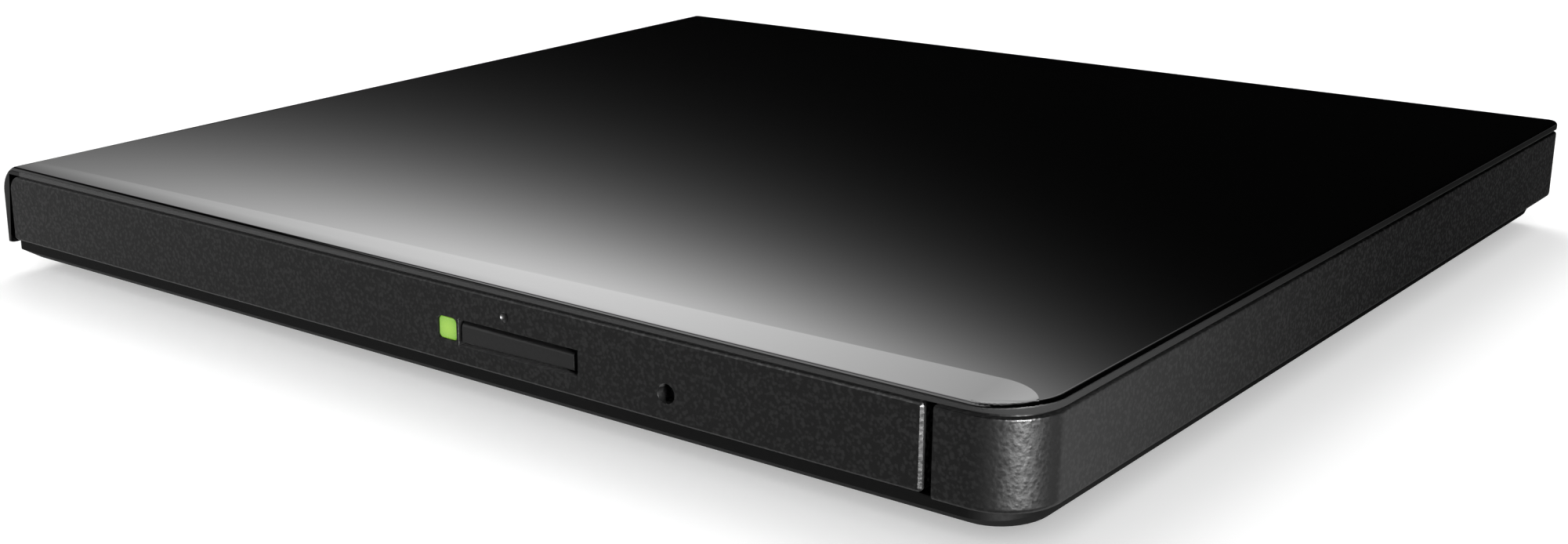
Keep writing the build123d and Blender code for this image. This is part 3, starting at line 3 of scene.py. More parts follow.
import logging
import math
from contextlib import contextmanager
from dataclasses import dataclass, replace
from enum import Enum
from functools import cache
from typing import Callable, Iterable, Iterator

import bpy
from mathutils import Euler, Matrix, Vector


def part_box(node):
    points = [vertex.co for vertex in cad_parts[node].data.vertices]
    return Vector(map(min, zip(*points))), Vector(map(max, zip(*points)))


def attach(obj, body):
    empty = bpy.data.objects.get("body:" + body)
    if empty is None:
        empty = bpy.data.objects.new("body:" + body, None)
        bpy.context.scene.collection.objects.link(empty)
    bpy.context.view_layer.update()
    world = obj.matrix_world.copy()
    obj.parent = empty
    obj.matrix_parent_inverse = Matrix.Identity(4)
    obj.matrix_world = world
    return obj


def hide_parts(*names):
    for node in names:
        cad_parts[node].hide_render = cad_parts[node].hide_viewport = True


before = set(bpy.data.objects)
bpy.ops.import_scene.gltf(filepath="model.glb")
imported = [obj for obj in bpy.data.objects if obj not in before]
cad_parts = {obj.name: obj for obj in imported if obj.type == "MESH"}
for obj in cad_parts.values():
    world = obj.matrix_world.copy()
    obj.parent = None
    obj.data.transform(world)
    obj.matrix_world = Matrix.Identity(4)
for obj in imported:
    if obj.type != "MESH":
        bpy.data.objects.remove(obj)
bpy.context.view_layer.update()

MM = 0.001
NEAR = 0.02 * MM
CLEARLY = 0.5 * MM
BEYOND = Vector((MM, MM, MM))
WHITE = (1.0, 1.0, 1.0, 1.0)
IN_DEGREES = 180.0 / math.pi

log = logging.getLogger("disc_drive")
Colour = tuple[float, float, float]
Point = tuple[float, float, float]
Socket = bpy.types.NodeSocket
Test = Callable[..., bool]


class Kind(Enum):
    """What an edit-mode operator works on, in the order of the select modes."""

    POINTS = "VERT"
    EDGES = "EDGE"
    FACES = "FACE"


class Cut(Enum):
    """How one closed shape changes another."""

    TAKE_AWAY = "DIFFERENCE"
    ADD = "UNION"


class Along(Enum):
    """The way a round bar points, as the turn of an upright one."""

    Y = (math.pi / 2, 0.0, 0.0)
    Z = (0.0, 0.0, 0.0)


def edge_key(start: Vector, end: Vector) -> tuple[float, ...]:
    """Gives an edge a key by its middle, to a thousandth of a millimetre."""
    return tuple(round(value / MM, 3) for value in (start + end) / 2)


def at(**place: float) -> Test:
    """Gives a test for points, or for edges' ends, by their coordinates."""
    return lambda *ends: all(abs(getattr(end, axis) - value) < NEAR for end in ends for axis, value in place.items())


def along_y(a: Vector, b: Vector) -> bool:
    """Tells whether an edge runs from front to back."""
    return abs(a.y - b.y) > CLEARLY


class Piece:
    """A mesh on the modelling bench, which each method shapes as by hand.

    Attributes:
        thing: The Blender object.
    """

    def __init__(
        self, name: str, add: Callable[..., object], scale: Iterable[float] = (1, 1, 1), **settings: object
    ) -> None:
        """Adds a primitive, at the origin, unturned and unscaled.

        Args:
            name: The object's name.
            add: The operator that adds it.
            scale: How it is stretched.
            **settings: The operator's values.
        """
        bpy.ops.object.select_all(action="DESELECT")
        add(**settings)
        self.thing = bpy.context.object
        self.thing.name = name
        self.thing.scale = scale
        bpy.ops.object.transform_apply(location=True, rotation=True, scale=True)

    @classmethod
    def block(cls, name: str, low: Iterable[float], high: Iterable[float]) -> "Piece":
        """Adds a box between its lowest and its highest corner, in metres."""
        low, high = Vector(low), Vector(high)
        return cls(name, bpy.ops.mesh.primitive_cube_add, high - low, size=1, location=(low + high) / 2)

    @classmethod
    def bar(
        cls, name: str, centre: Iterable[float], radius: float, length: float,
        along: Along = Along.Z, sides: int = 64,
    ) -> "Piece":
        """Adds a round bar.

        Args:
            name: The piece's name.
            centre: Where its middle goes.
            radius: Its radius.
            length: Its length.
            along: The axis that it lies along.
            sides: How many sides its roundness has.

        Returns:
            The new piece.
        """
        return cls(
            name, bpy.ops.mesh.primitive_cylinder_add, vertices=sides, radius=radius, depth=length,
            location=Vector(centre), rotation=along.value,
        )

    def take(self) -> None:
        """Makes the piece the only selected one and the active one."""
        bpy.ops.object.select_all(action="DESELECT")
        self.thing.select_set(True)
        bpy.context.view_layer.objects.active = self.thing

    @contextmanager
    def chosen(self, kind: Kind, test: Test = lambda *where: True) -> Iterator[None]:
        """Enters edit mode with only the parts selected that pass a test.

        Args:
            kind: Points, edges or faces.
            test: Gets a point's place, an edge's two ends, or a face's middle and normal.

        Yields:
            Nothing; the operators inside work on the selection.
        """
        self.take()
        bpy.context.tool_settings.mesh_select_mode = [kind is each for each in Kind]
        mesh = self.thing.data
        places = [point.co for point in mesh.vertices]
        passed = {
            Kind.POINTS: lambda point: test(point.co),
            Kind.EDGES: lambda edge: test(*(places[index] for index in edge.vertices)),
            Kind.FACES: lambda face: test(face.center, face.normal),
        }[kind]
        for each, parts in zip(Kind, (mesh.vertices, mesh.edges, mesh.polygons)):
            parts.foreach_set("select", [each is kind and passed(part) for part in parts])
        bpy.ops.object.mode_set(mode="EDIT")
        yield
        bpy.ops.object.mode_set(mode="OBJECT")

    def shift(self, test: Test, move: Iterable[float]) -> None:
        """Moves the points that pass a test."""
        with self.chosen(Kind.POINTS, test):
            bpy.ops.transform.translate(value=move)

    def round_edges(self, test: Test, radius: float, segments: int, profile: float = 0.5) -> None:
        """Rounds the edges that pass a test.

        Args:
            test: The test of an edge's two ends.
            radius: How far from the edge the rounding starts.
            segments: How many faces it has; one makes a chamfer.
            profile: Its shape; 0.5 makes an arc.
        """
        with self.chosen(Kind.EDGES, test):
            bpy.ops.mesh.bevel(
                offset_type="OFFSET", offset=radius, segments=segments, profile=profile,
                affect="EDGES", clamp_overlap=False,
            )

    def round_sharp(self, degrees: float, radius: float, segments: int, test: Test) -> None:
        """Rounds the sharp edges that also pass a test.

        Args:
            degrees: The least angle between the two faces of an edge.
            radius: How far the rounding reaches into each face.
            segments: Faces across the rounding.
            test: Gets an edge's two ends.
        """
        with self.chosen(Kind.EDGES, lambda a, b: False):
            bpy.ops.mesh.edges_select_sharp(sharpness=math.radians(degrees))
        mesh = self.thing.data
        found = [edge.vertices for edge in mesh.edges if edge.select]
        sharp = {edge_key(mesh.vertices[start].co, mesh.vertices[end].co) for start, end in found}
        self.round_edges(lambda a, b: edge_key(a, b) in sharp and test(a, b), radius, segments)

    def apply(self, kind: str, **settings: object) -> None:
        """Adds a modifier and applies it.

        Args:
            kind: The modifier's type.
            **settings: The modifier's own values.
        """
        self.take()
        modifier = self.thing.modifiers.new(kind.lower(), kind)
        for key, value in settings.items():
            setattr(modifier, key, value)
        bpy.ops.object.modifier_apply(modifier=modifier.name)

    def cut(self, tool: "Piece", how: Cut = Cut.TAKE_AWAY) -> None:
        """Changes the piece by a closed tool shape, and throws the tool away."""
        self.apply("BOOLEAN", operation=how.value, object=tool.thing, solver="EXACT")
        bpy.data.objects.remove(tool.thing, do_unlink=True)

    def join(self, others: Iterable["Piece"]) -> "Piece":
        """Joins other pieces to this one as separate shells.

        Args:
            others: The pieces to take in.

        Returns:
            This piece.
        """
        self.take()
        for other in others:
            other.thing.select_set(True)
        bpy.ops.object.join()
        return self

    def clean(self) -> None:
        """Merges doubled points and makes faces in one plane whole."""
        with self.chosen(Kind.POINTS):
            bpy.ops.mesh.remove_doubles(threshold=0.001 * MM)
            bpy.ops.mesh.dissolve_limited(angle_limit=math.radians(0.05))

    def press_in(self, low: Vector, high: Vector) -> None:
        """Presses points that a rounding pushed out back between two corners."""
        for point in self.thing.data.vertices:
            point.co = [min(max(value, least), most) for value, least, most in zip(point.co, low, high)]

    def smooth(self, crease: Test = lambda a, b: False) -> None:
        """Shades round faces smooth and keeps flat faces flat.

        Args:
            crease: Gets an edge's two ends, and tells whether it stays hard in any case.
        """
        self.take()
        bpy.ops.object.shade_smooth_by_angle(angle=math.radians(30))
        with self.chosen(Kind.EDGES, crease):
            bpy.ops.mesh.mark_sharp()
        self.apply("WEIGHTED_NORMAL", keep_sharp=True)

    def place(self, body: str, finish: "Finish", *nodes: str) -> None:
        """Dresses the finished piece and hangs it on its body.

        Args:
            body: The frame's body that it moves with.
            finish: Its finish.
            *nodes: The frame nodes that it stands for.
        """
        piece = self.thing
        piece.data.materials.clear()
        piece.data.materials.append(finish.material())
        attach(piece, body)
        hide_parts(*nodes)
        log.info("%s: %d faces, rides on %s, for %s", piece.name, len(piece.data.polygons), body, ", ".join(nodes))


class Sheet:
    """A node tree under construction, shared by finishes, effects and the studio."""

    def __init__(self, tree: bpy.types.NodeTree) -> None:
        """Takes the tree to add nodes to."""
        self.tree = tree

    def put(self, value: object, socket: Socket) -> None:
        """Feeds an input.

        Args:
            value: A socket to link to the input, or a plain value for it.
            socket: The input.
        """
        if isinstance(value, Socket):
            self.tree.links.new(value, socket)
        else:
            socket.default_value = value

    def node(self, kind: str, **settings: object) -> bpy.types.Node:
        """Adds a node and sets its properties.

        Args:
            kind: The node's type, without its ShaderNode prefix.
            **settings: Properties of the node.

        Returns:
            The new node.
        """
        made = self.tree.nodes.new(kind if kind.startswith("Node") else "ShaderNode" + kind)
        for key, value in settings.items():
            setattr(made, key, value)
        return made

    def feed(self, made: bpy.types.Node, **values: object) -> bpy.types.Node:
        """Sets or links a node's inputs by name.

        Args:
            made: The node.
            **values: A socket to link, or a plain value, for each input; _ stands for a space.

        Returns:
            The same node.
        """
        for key, value in values.items():
            self.put(value, made.inputs[key.replace("_", " ")])
        return made

    def math(self, operation: str, *values: object) -> Socket:
        """Adds a Math node.

        Args:
            operation: Its operation.
            *values: Sockets or numbers for its inputs.

        Returns:
            Its output.
        """
        made = self.node("Math", operation=operation)
        for socket, value in zip(made.inputs, values):
            self.put(value, socket)
        return made.outputs[0]

    def blend(self, share: Socket, first: Colour, second: Colour) -> Socket:
        """Mixes two colours.

        Args:
            share: 0 for the first colour and 1 for the second.
            first: The first colour.
            second: The second colour.

        Returns:
            The socket of the mixed colour.
        """
        made = self.node("Mix", data_type="RGBA")
        for index, value in ((0, share), (6, (*first, 1.0)), (7, (*second, 1.0))):
            self.put(value, made.inputs[index])
        return made.outputs[2]

    def level(self, value: Socket, low: float, high: float) -> Socket:
        """Spreads a value from 0 to 1 over a range."""
        return self.feed(self.node("MapRange"), Value=value, To_Min=low, To_Max=high).outputs[0]

    def ramp(self, value: Socket, start: float, end: float, low: float, high: float) -> Socket:
        """Eases from a low to a high level as a value goes from start to end."""
        made = self.node("MapRange", interpolation_type="SMOOTHSTEP")
        return self.feed(made, Value=value, From_Min=start, From_Max=end, To_Min=low, To_Max=high).outputs[0]

    def parts(self, vector: Socket) -> tuple[Socket, ...]:
        """Splits a vector.

        Args:
            vector: The vector's socket.

        Returns:
            The sockets of its three parts.
        """
        made = self.node("SeparateXYZ")
        self.put(vector, made.inputs[0])
        return tuple(made.outputs)


class Effect:
    """Shader node groups that several finishes share, each built once.

    Attributes:
        FINE: Share of the fine noise in the grain.
        PEBBLE: Share of its pebbles.
        WIDE: Share of the wide noise, which only its height has.
        WIDE_SCALE: How often the wide noise repeats, against the fine one.
        MIDDLE: The grain's level that keeps the middle tone.
    """

    FINE = 0.6
    PEBBLE = 0.4
    WIDE = 0.35
    WIDE_SCALE = 0.37
    MIDDLE = 0.55

    @staticmethod
    def group(
        name: str, inputs: tuple[str, ...], outputs: tuple[str, ...]
    ) -> tuple[Sheet, list[Socket], bpy.types.Node]:
        """Starts a node group.

        Args:
            name: The group's name.
            inputs: Names of its inputs: a vector first, then numbers.
            outputs: Names of its outputs, all numbers.

        Returns:
            The sheet, the sockets of its inputs and the node of its outputs.
        """
        tree = bpy.data.node_groups.new(name, "ShaderNodeTree")
        for way, sockets in (("INPUT", inputs), ("OUTPUT", outputs)):
            for socket in sockets:
                kind = "NodeSocketVector" if socket == "Vector" else "NodeSocketFloat"
                tree.interface.new_socket(socket, in_out=way, socket_type=kind)
        sheet = Sheet(tree)
        return sheet, list(sheet.node("NodeGroupInput").outputs)[:len(inputs)], sheet.node("NodeGroupOutput")

    @staticmethod
    @cache
    def moulded_grain() -> bpy.types.NodeTree:
        """The fine pebbled grain of a spark-eroded mould.

        Returns:
            The group's tree, which gives a tone and a height.
        """
        names = ("Vector", "Scale", "Contrast")
        sheet, (place, scale, contrast), out = Effect.group("moulded_grain", names, ("Tone", "Height"))
        wide_scale = sheet.math("MULTIPLY", scale, Effect.WIDE_SCALE)
        fine = sheet.feed(sheet.node("TexNoise"), Vector=place, Scale=scale, Detail=2.0)
        wide = sheet.feed(sheet.node("TexNoise"), Vector=place, Scale=wide_scale, Detail=1.0)
        cells = sheet.feed(sheet.node("TexVoronoi", feature="SMOOTH_F1"), Vector=place, Scale=scale, Smoothness=0.6)
        pebble = sheet.math("SUBTRACT", 1.0, cells.outputs[0])
        fine_part = sheet.math("MULTIPLY", fine.outputs[0], Effect.FINE)
        both = sheet.math("ADD", fine_part, sheet.math("MULTIPLY", pebble, Effect.PEBBLE))
        height = sheet.math("ADD", both, sheet.math("MULTIPLY", wide.outputs[0], Effect.WIDE))
        swing = sheet.math("MULTIPLY", sheet.math("SUBTRACT", both, Effect.MIDDLE), contrast)
        tone = sheet.feed(sheet.node("Clamp"), Value=sheet.math("ADD", swing, 0.5)).outputs[0]
        sheet.feed(out, Tone=tone, Height=height)
        return sheet.tree

    @staticmethod
    @cache
    def tone_drift() -> bpy.types.NodeTree:
        """Slow changes of tone over a surface, as from handling or uneven plating.

        Returns:
            The group's tree, which gives a tone.
        """
        sheet, (place, scale, amount), out = Effect.group("tone_drift", ("Vector", "Scale", "Amount"), ("Tone",))
        slow = sheet.feed(sheet.node("TexNoise"), Vector=place, Scale=scale, Detail=4.0)
        swing = sheet.math("MULTIPLY", sheet.math("SUBTRACT", slow.outputs[0], 0.5), amount)
        sheet.feed(out, Tone=sheet.math("ADD", swing, 1.0))
        return sheet.tree


@dataclass(frozen=True)
class Finish:
    """One surface finish: two tones, a roughness range and a grain with height.

    Attributes:
        name: What its material is named after, before _finish.
        dark: Colour in the hollows of the grain.
        light: Colour on its tops.
        polish: Least roughness.
        matt: Most roughness.
        grain: Size of the grain's features, in millimetres.
        relief: Height of the grain, in millimetres.
        metallic: 1 for bare metal.
        specular: The shader's specular level.
        stretch: How the grain is squeezed along each axis.
        contrast: How strongly the grain changes the tone.
        drift: How strongly the tone changes over the whole piece.
        drift_scale: How often it changes, per metre.
        veil: How far the texture breaks up reflections at a glancing angle, from 0 to 1.
        veil_range: Where the veil starts and is full, as facing values.
        edge_matt: Roughness of the upright edges right of edge_from, or 0 for none.
        edge_range: Where a face is upright and where it is level, as heights of its normal.
        edge_from: Where those edges start along X, in metres.
    """

    name: str
    dark: Colour
    light: Colour
    polish: float
    matt: float
    grain: float = 0.3
    relief: float = 0.01
    metallic: float = 0.0
    specular: float = 0.5
    stretch: Point = (1.0, 1.0, 1.0)
    contrast: float = 2.5
    drift: float = 0.25
    drift_scale: float = 60.0
    veil: float = 0.0
    veil_range: tuple[float, float] = (0.3, 0.62)
    edge_matt: float = 0.0
    edge_range: tuple[float, float] = (0.15, 0.6)
    edge_from: float = -0.068

    def material(self) -> bpy.types.Material:
        """Builds the material, once.

        Returns:
            The material, which is the same one on each call.
        """
        title = self.name + "_finish"
        made = bpy.data.materials.get(title)
        if made is None:
            made = bpy.data.materials.new(title)
            made.use_nodes = True
            self.paint(Sheet(made.node_tree), made.node_tree.nodes["Principled BSDF"])
        return made

    def paint(self, sheet: Sheet, shader: bpy.types.Node) -> None:
        """Wires the finish into a Principled shader.

        Args:
            sheet: The material's node tree.
            shader: Its Principled node.
        """
        spot = sheet.node("TexCoord").outputs["Object"]
        place = sheet.feed(sheet.node("Mapping"), Vector=spot, Scale=self.stretch).outputs[0]
        grain = sheet.node("Group", node_tree=Effect.moulded_grain())
        sheet.feed(grain, Vector=place, Scale=1.0 / (self.grain * MM), Contrast=self.contrast)
        drift = sheet.node("Group", node_tree=Effect.tone_drift())
        sheet.feed(drift, Vector=place, Scale=self.drift_scale, Amount=self.drift)
        tone = sheet.math("MULTIPLY", grain.outputs["Tone"], drift.outputs["Tone"])
        roughness = sheet.level(tone, self.matt, self.polish)
        if self.veil > 0:
            facing = sheet.feed(sheet.node("LayerWeight"), Blend=0.5).outputs["Facing"]
            roughness = sheet.math("MAXIMUM", roughness, sheet.ramp(facing, *self.veil_range, 0.0, self.veil))
        if self.edge_matt > 0:
            roughness = sheet.math("MAXIMUM", roughness, self.edge_mask(sheet))
        bump = sheet.feed(
            sheet.node("Bump"), Height=grain.outputs["Height"], Distance=self.relief * MM, Strength=1.0
        )
        sheet.feed(
            shader, Base_Color=sheet.blend(tone, self.dark, self.light), Roughness=roughness,
            Normal=bump.outputs[0], Metallic=self.metallic, Specular_IOR_Level=self.specular,
        )

    def edge_mask(self, sheet: Sheet) -> Socket:
        """Gives the roughness of upright faces, and 0 on level faces and left of the edges.

        Args:
            sheet: The material's node tree.

        Returns:
            The masked roughness.
        """
        spot = sheet.node("TexCoord").outputs
        rise, x = sheet.parts(spot["Normal"])[2], sheet.parts(spot["Object"])[0]
        upright = sheet.ramp(sheet.math("ABSOLUTE", rise), *self.edge_range, 1.0, 0.0)
        inside = sheet.math("GREATER_THAN", x, self.edge_from)
        return sheet.math("MULTIPLY", sheet.math("MULTIPLY", upright, inside), self.edge_matt)


@dataclass(frozen=True)
class Glow(Finish):
    """A clear moulded window lit from behind.

    Attributes:
        core: Colour of the light in the middle.
        rim: Colour of the light towards the window's edge.
        strength: Brightness of the light.
        centre: Middle of the window, in metres.
        reach: Distance from the middle to the rim colour, in metres.
    """

    core: Colour = (0.31, 0.54, 0.055)
    rim: Colour = (0.13, 0.32, 0.02)
    strength: float = 1.0
    centre: Point = (0.0, 0.0, 0.0)
    reach: float = 1.55 * MM

    def paint(self, sheet: Sheet, shader: bpy.types.Node) -> None:
        """Adds the light to the plain finish.

        Args:
            sheet: The material's node tree.
            shader: Its Principled node.
        """
        super().paint(sheet, shader)
        away = sheet.node("VectorMath", operation="DISTANCE")
        sheet.put(sheet.node("TexCoord").outputs["Object"], away.inputs[0])
        sheet.put(self.centre, away.inputs[1])
        share = sheet.math("DIVIDE", away.outputs["Value"], self.reach)
        glow = sheet.blend(sheet.math("POWER", share, 2.0), self.core, self.rim)
        sheet.feed(shader, Emission_Color=glow, Emission_Strength=self.strength)


class Finishes:
    """Every finish of the drive, by the part it is used on."""

    cover_gloss = Finish(
        "cover_gloss", (0.0006,) * 3, (0.0012,) * 3, 0.035, 0.05, 1.2, 0.00004,
        specular=0.12, contrast=0.8, edge_matt=0.9,
    )
    case_matt = Finish(
        "case_matt", (0.0002,) * 3, (0.02,) * 3, 0.32, 0.44, 0.42, 0.045, specular=0.1, contrast=7.0, veil=0.85,
    )
    # The case's black plastic again, painted darker and given less specular: painted shade on the underside.
    pan_matt = Finish("pan_matt", (0.0008,) * 3, (0.003,) * 3, 0.55, 0.7, 0.35, 0.012, specular=0.03, veil=1.0)
    button_plastic = Finish("button_plastic", (0.003,) * 3, (0.011,) * 3, 0.28, 0.42, specular=0.16)
    foot_rubber = Finish("foot_rubber", (0.012,) * 3, (0.03,) * 3, 0.7, 0.85, 0.4, 0.03)
    pad_foam = Finish("pad_foam", (0.02,) * 3, (0.07,) * 3, 0.85, 0.98, 0.5, 0.12)
    screw_steel = Finish("screw_steel", (0.03,) * 3, (0.09,) * 3, 0.28, 0.42, 0.25, 0.004, 1.0)
    sheet_steel = Finish(
        "sheet_steel", (0.42, 0.43, 0.44), (0.62, 0.63, 0.64), 0.26, 0.42, 0.8, 0.003, 1.0,
        stretch=(1.0, 0.12, 1.0), contrast=1.2,
    )
    rail_steel = Finish(
        "rail_steel", (0.45, 0.45, 0.46), (0.66, 0.66, 0.67), 0.2, 0.34, 0.5, 0.002, 1.0,
        stretch=(1.0, 0.06, 1.0), contrast=1.2,
    )
    rail_plastic = Finish("rail_plastic", (0.02,) * 3, (0.045,) * 3, 0.4, 0.55, 0.4, 0.008)
    tray_plastic = Finish("tray_plastic", (0.012, 0.012, 0.013), (0.035, 0.035, 0.037), 0.42, 0.58, 0.28, 0.014)
    frame_steel = Finish(
        "frame_steel", (0.3, 0.31, 0.32), (0.5, 0.51, 0.52), 0.3, 0.45, 0.9, 0.004, 1.0, contrast=1.4,
    )
    rod_steel = Finish("rod_steel", (0.6,) * 3, (0.74,) * 3, 0.08, 0.18, 0.3, 0.0004, 1.0)
    motor_steel = Finish("motor_steel", (0.44, 0.43, 0.42), (0.62, 0.61, 0.6), 0.22, 0.34, 0.6, 0.002, 1.0)
    bush_rubber = Finish("bush_rubber", (0.05, 0.03, 0.02), (0.12, 0.08, 0.06), 0.65, 0.8, relief=0.015)
    turntable_rubber = Finish("turntable_rubber", (0.035,) * 3, (0.07,) * 3, 0.6, 0.75, 0.25, 0.012)
    hub_plastic = Finish("hub_plastic", (0.55,) * 3, (0.68,) * 3, 0.32, 0.45, 0.4, 0.004)
    sled_metal = Finish("sled_metal", (0.3, 0.3, 0.31), (0.46, 0.46, 0.47), 0.4, 0.55, 0.6, 0.02, 1.0)
    cover_sheet = Finish(
        "cover_sheet", (0.62, 0.6, 0.56), (0.78, 0.76, 0.72), 0.16, 0.26, 0.7, 0.001, 1.0, stretch=(0.1, 1.0, 1.0),
    )
    nut_plastic = Finish("nut_plastic", (0.6, 0.58, 0.5), (0.72, 0.7, 0.62), 0.35, 0.5, relief=0.006)
    holder_plastic = Finish("holder_plastic", (0.012,) * 3, (0.03,) * 3, 0.35, 0.5, relief=0.006)
    board_green = Finish(
        "board_green", (0.006, 0.05, 0.02), (0.02, 0.13, 0.05), 0.25, 0.4, 1.6, 0.01,
        stretch=(1.0, 0.2, 1.0), contrast=4.0,
    )
    chip_black = Finish("chip_black", (0.01,) * 3, (0.022,) * 3, 0.4, 0.52, 0.2, 0.006)
    connector_black = Finish("connector_black", (0.015,) * 3, (0.03,) * 3, 0.35, 0.5, relief=0.006)
    flex_film = Finish(
        "flex_film", (0.3, 0.13, 0.02), (0.5, 0.24, 0.05), 0.25, 0.36, 0.8, 0.002, stretch=(1.0, 0.02, 1.0),
    )
    socket_shell = Finish("socket_shell", (0.5,) * 3, (0.66,) * 3, 0.2, 0.32, 0.4, 0.001, 1.0)
    led_body = Finish("led_body", (0.6, 0.66, 0.5), (0.75, 0.8, 0.62), 0.2, 0.3, relief=0.002)
    spring_steel = Finish("spring_steel", (0.5,) * 3, (0.68,) * 3, 0.15, 0.25, 0.3, 0.0005, 1.0)
    lens_glass = Finish("lens_glass", (0.05, 0.06, 0.16), (0.1, 0.12, 0.3), 0.03, 0.05, 0.8, 0.0, contrast=0.6)
    window_plastic = Glow("light_window", (0.02, 0.05, 0.01), (0.05, 0.1, 0.02), 0.2, 0.3, relief=0.001)


@dataclass
class GlossCover:
    """The gloss cover with its skirt, front facet and rounded rim.

    Attributes:
        skirt: Thickness of the skirt down the left side.
        relief: How much thinner the skirt is beside the bezel.
        relief_depth: How far back that place reaches.
        shoulder: Radius where the top turns down into the skirt.
        front_corner: Plan radius of the front right corner.
        rear_corner: Plan radius of both rear corners.
        facet_depth: Width of the facet along the front edge, at its right end.
        facet_narrowing: How much narrower it is at its left end.
        facet_drop: How far the facet falls at the front edge, at its right end.
        facet_sweep: Radius of the arc that ends the facet on the right.
        facet_straight: Distance from the right side to where that arc starts.
        rim: Radius of the top edge.
        lower_rim: Radius of the lower edges.
    """

    skirt: float = 2.7 * MM
    relief: float = 1.4 * MM
    relief_depth: float = 2.9 * MM
    shoulder: float = 3.6 * MM
    front_corner: float = 6.0 * MM
    rear_corner: float = 1.5 * MM
    facet_depth: float = 6.2 * MM
    facet_narrowing: float = 2.9 * MM
    facet_drop: float = 0.379 * MM
    facet_sweep: float = 5.5 * MM
    facet_straight: float = 6.0 * MM
    rim: float = 0.5 * MM
    lower_rim: float = 0.2 * MM

    def build(self) -> None:
        """Models the cover and hangs it on the case."""
        low, high = self.low, self.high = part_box("top_cover")
        walls_low, walls_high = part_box("case_body")
        low.z = walls_low.z
        cover = Piece.block("gloss_cover", low, high)
        cover.round_edges(at(x=low.x, z=high.z), self.shoulder, 14)
        cover.round_edges(at(x=high.x, y=low.y), self.front_corner, 20)
        cover.round_edges(at(x=high.x, y=high.y), self.rear_corner, 14)
        self.cut_rear_left(cover)
        inner = low.x + self.skirt
        cover.cut(Piece.block("inside", (inner, low.y - MM, low.z - MM), (high.x + MM, high.y + MM, walls_high.z)))
        cover.cut(Piece.block(
            "relief", (inner - self.relief, low.y - MM, low.z - MM),
            (inner + MM, low.y + self.relief_depth, walls_high.z),
        ))
        self.cut_facet(cover)
        cover.clean()
        lower = at(z=walls_high.z)
        cover.round_sharp(60, self.lower_rim, 2, lambda a, b: lower(a, b) and min(a.x, b.x) > inner + NEAR)
        cover.round_sharp(40, self.rim, 5, self.rim_test(walls_high.z + 0.3 * MM))
        cover.press_in(low, high)
        cover.smooth(self.crease_test())
        cover.place("root", Finishes.cover_gloss, "top_cover")

    def cut_rear_left(self, cover: Piece) -> None:
        """Rounds the rear left corner in plan, through the shoulder.

        Args:
            cover: The cover so far.
        """
        low, high, radius = self.low, self.high, self.rear_corner
        corner_low, corner_high = (low.x - MM, high.y - radius, low.z - MM), (low.x + radius, high.y + MM, high.z + MM)
        corner = Piece.block("corner", corner_low, corner_high)
        centre = (low.x + radius, high.y - radius, (low.z + high.z) / 2)
        corner.cut(Piece.bar("round_part", centre, radius, high.z - low.z + 4 * MM, sides=96))
        cover.cut(corner)

    def sweep(self) -> Vector:
        """Gives the middle of the arc that ends the facet, in plan."""
        return Vector((self.high.x - self.facet_straight, self.low.y + self.facet_depth - self.facet_sweep))

    def cut_facet(self, cover: Piece) -> None:
        """Takes the shallow facet off the front edge, with its arc at the right end.

        Args:
            cover: The cover so far.
        """
        high, axis, over = self.high, self.sweep(), 2.0 * MM
        slope = self.facet_drop / self.facet_depth
        far = self.low.x - MM
        tip = Vector((axis.x, axis.y, high.z + slope * over))
        height = high.z + MM - tip.z
        middle = (axis.x, axis.y, (tip.z + high.z + MM) / 2)
        bowl = Piece.bar("bowl", middle, self.facet_sweep + over, height, sides=160)
        with bowl.chosen(Kind.FACES, lambda middle, normal: normal.z < -0.5):
            bpy.ops.mesh.poke()
        bottom = high.z - slope * self.facet_sweep
        bowl.shift(lambda point: (point - tip).length < NEAR, (0, 0, bottom - tip.z))
        with bowl.chosen(Kind.FACES):
            bpy.ops.mesh.bisect(plane_co=(axis.x, 0, 0), plane_no=(1, 0, 0), use_fill=True, clear_inner=True)
        with bowl.chosen(Kind.FACES, lambda middle, normal: normal.x < -0.99):
            bpy.ops.mesh.extrude_region_move(TRANSFORM_OT_translate={"value": (far - axis.x, 0, 0)})
        bowl.shift(lambda point: point.x < self.low.x, (0, -self.facet_narrowing, 0))
        cover.cut(bowl)

    def rim_test(self, level: float) -> Test:
        """Gives a test for the edges of the rim.

        Args:
            level: The height above which every edge is one of the rim's.

        Returns:
            The test of an edge's two ends, which also takes in the shoulder's ends.
        """
        side, foot = self.low.x + self.shoulder, at(z=self.low.z)
        return lambda a, b: (
            (min(a.z, b.z) > level or max(a.x, b.x) < side) and not foot(a, b) and not (a - b).z > 4 * MM
        )

    def crease_test(self) -> Test:
        """Gives a test for the edges of the facet's crease, which stays crisp.

        Returns:
            The test of an edge's two ends.
        """
        axis = self.sweep()
        crease = self.low.y + self.facet_depth
        narrowing = self.facet_narrowing / (axis.x - self.low.x + MM)

        def on_crease(point: Vector) -> bool:
            """Tells whether a point is on the straight or the swept crease.

            Args:
                point: The point.

            Returns:
                Whether it is.
            """
            if point.x <= axis.x + NEAR:
                return abs(point.y - crease + narrowing * (axis.x - point.x)) < 2 * NEAR
            return abs((point.xy - axis).length - self.facet_sweep) < NEAR

        return lambda a, b: on_crease(a) and on_crease(b)


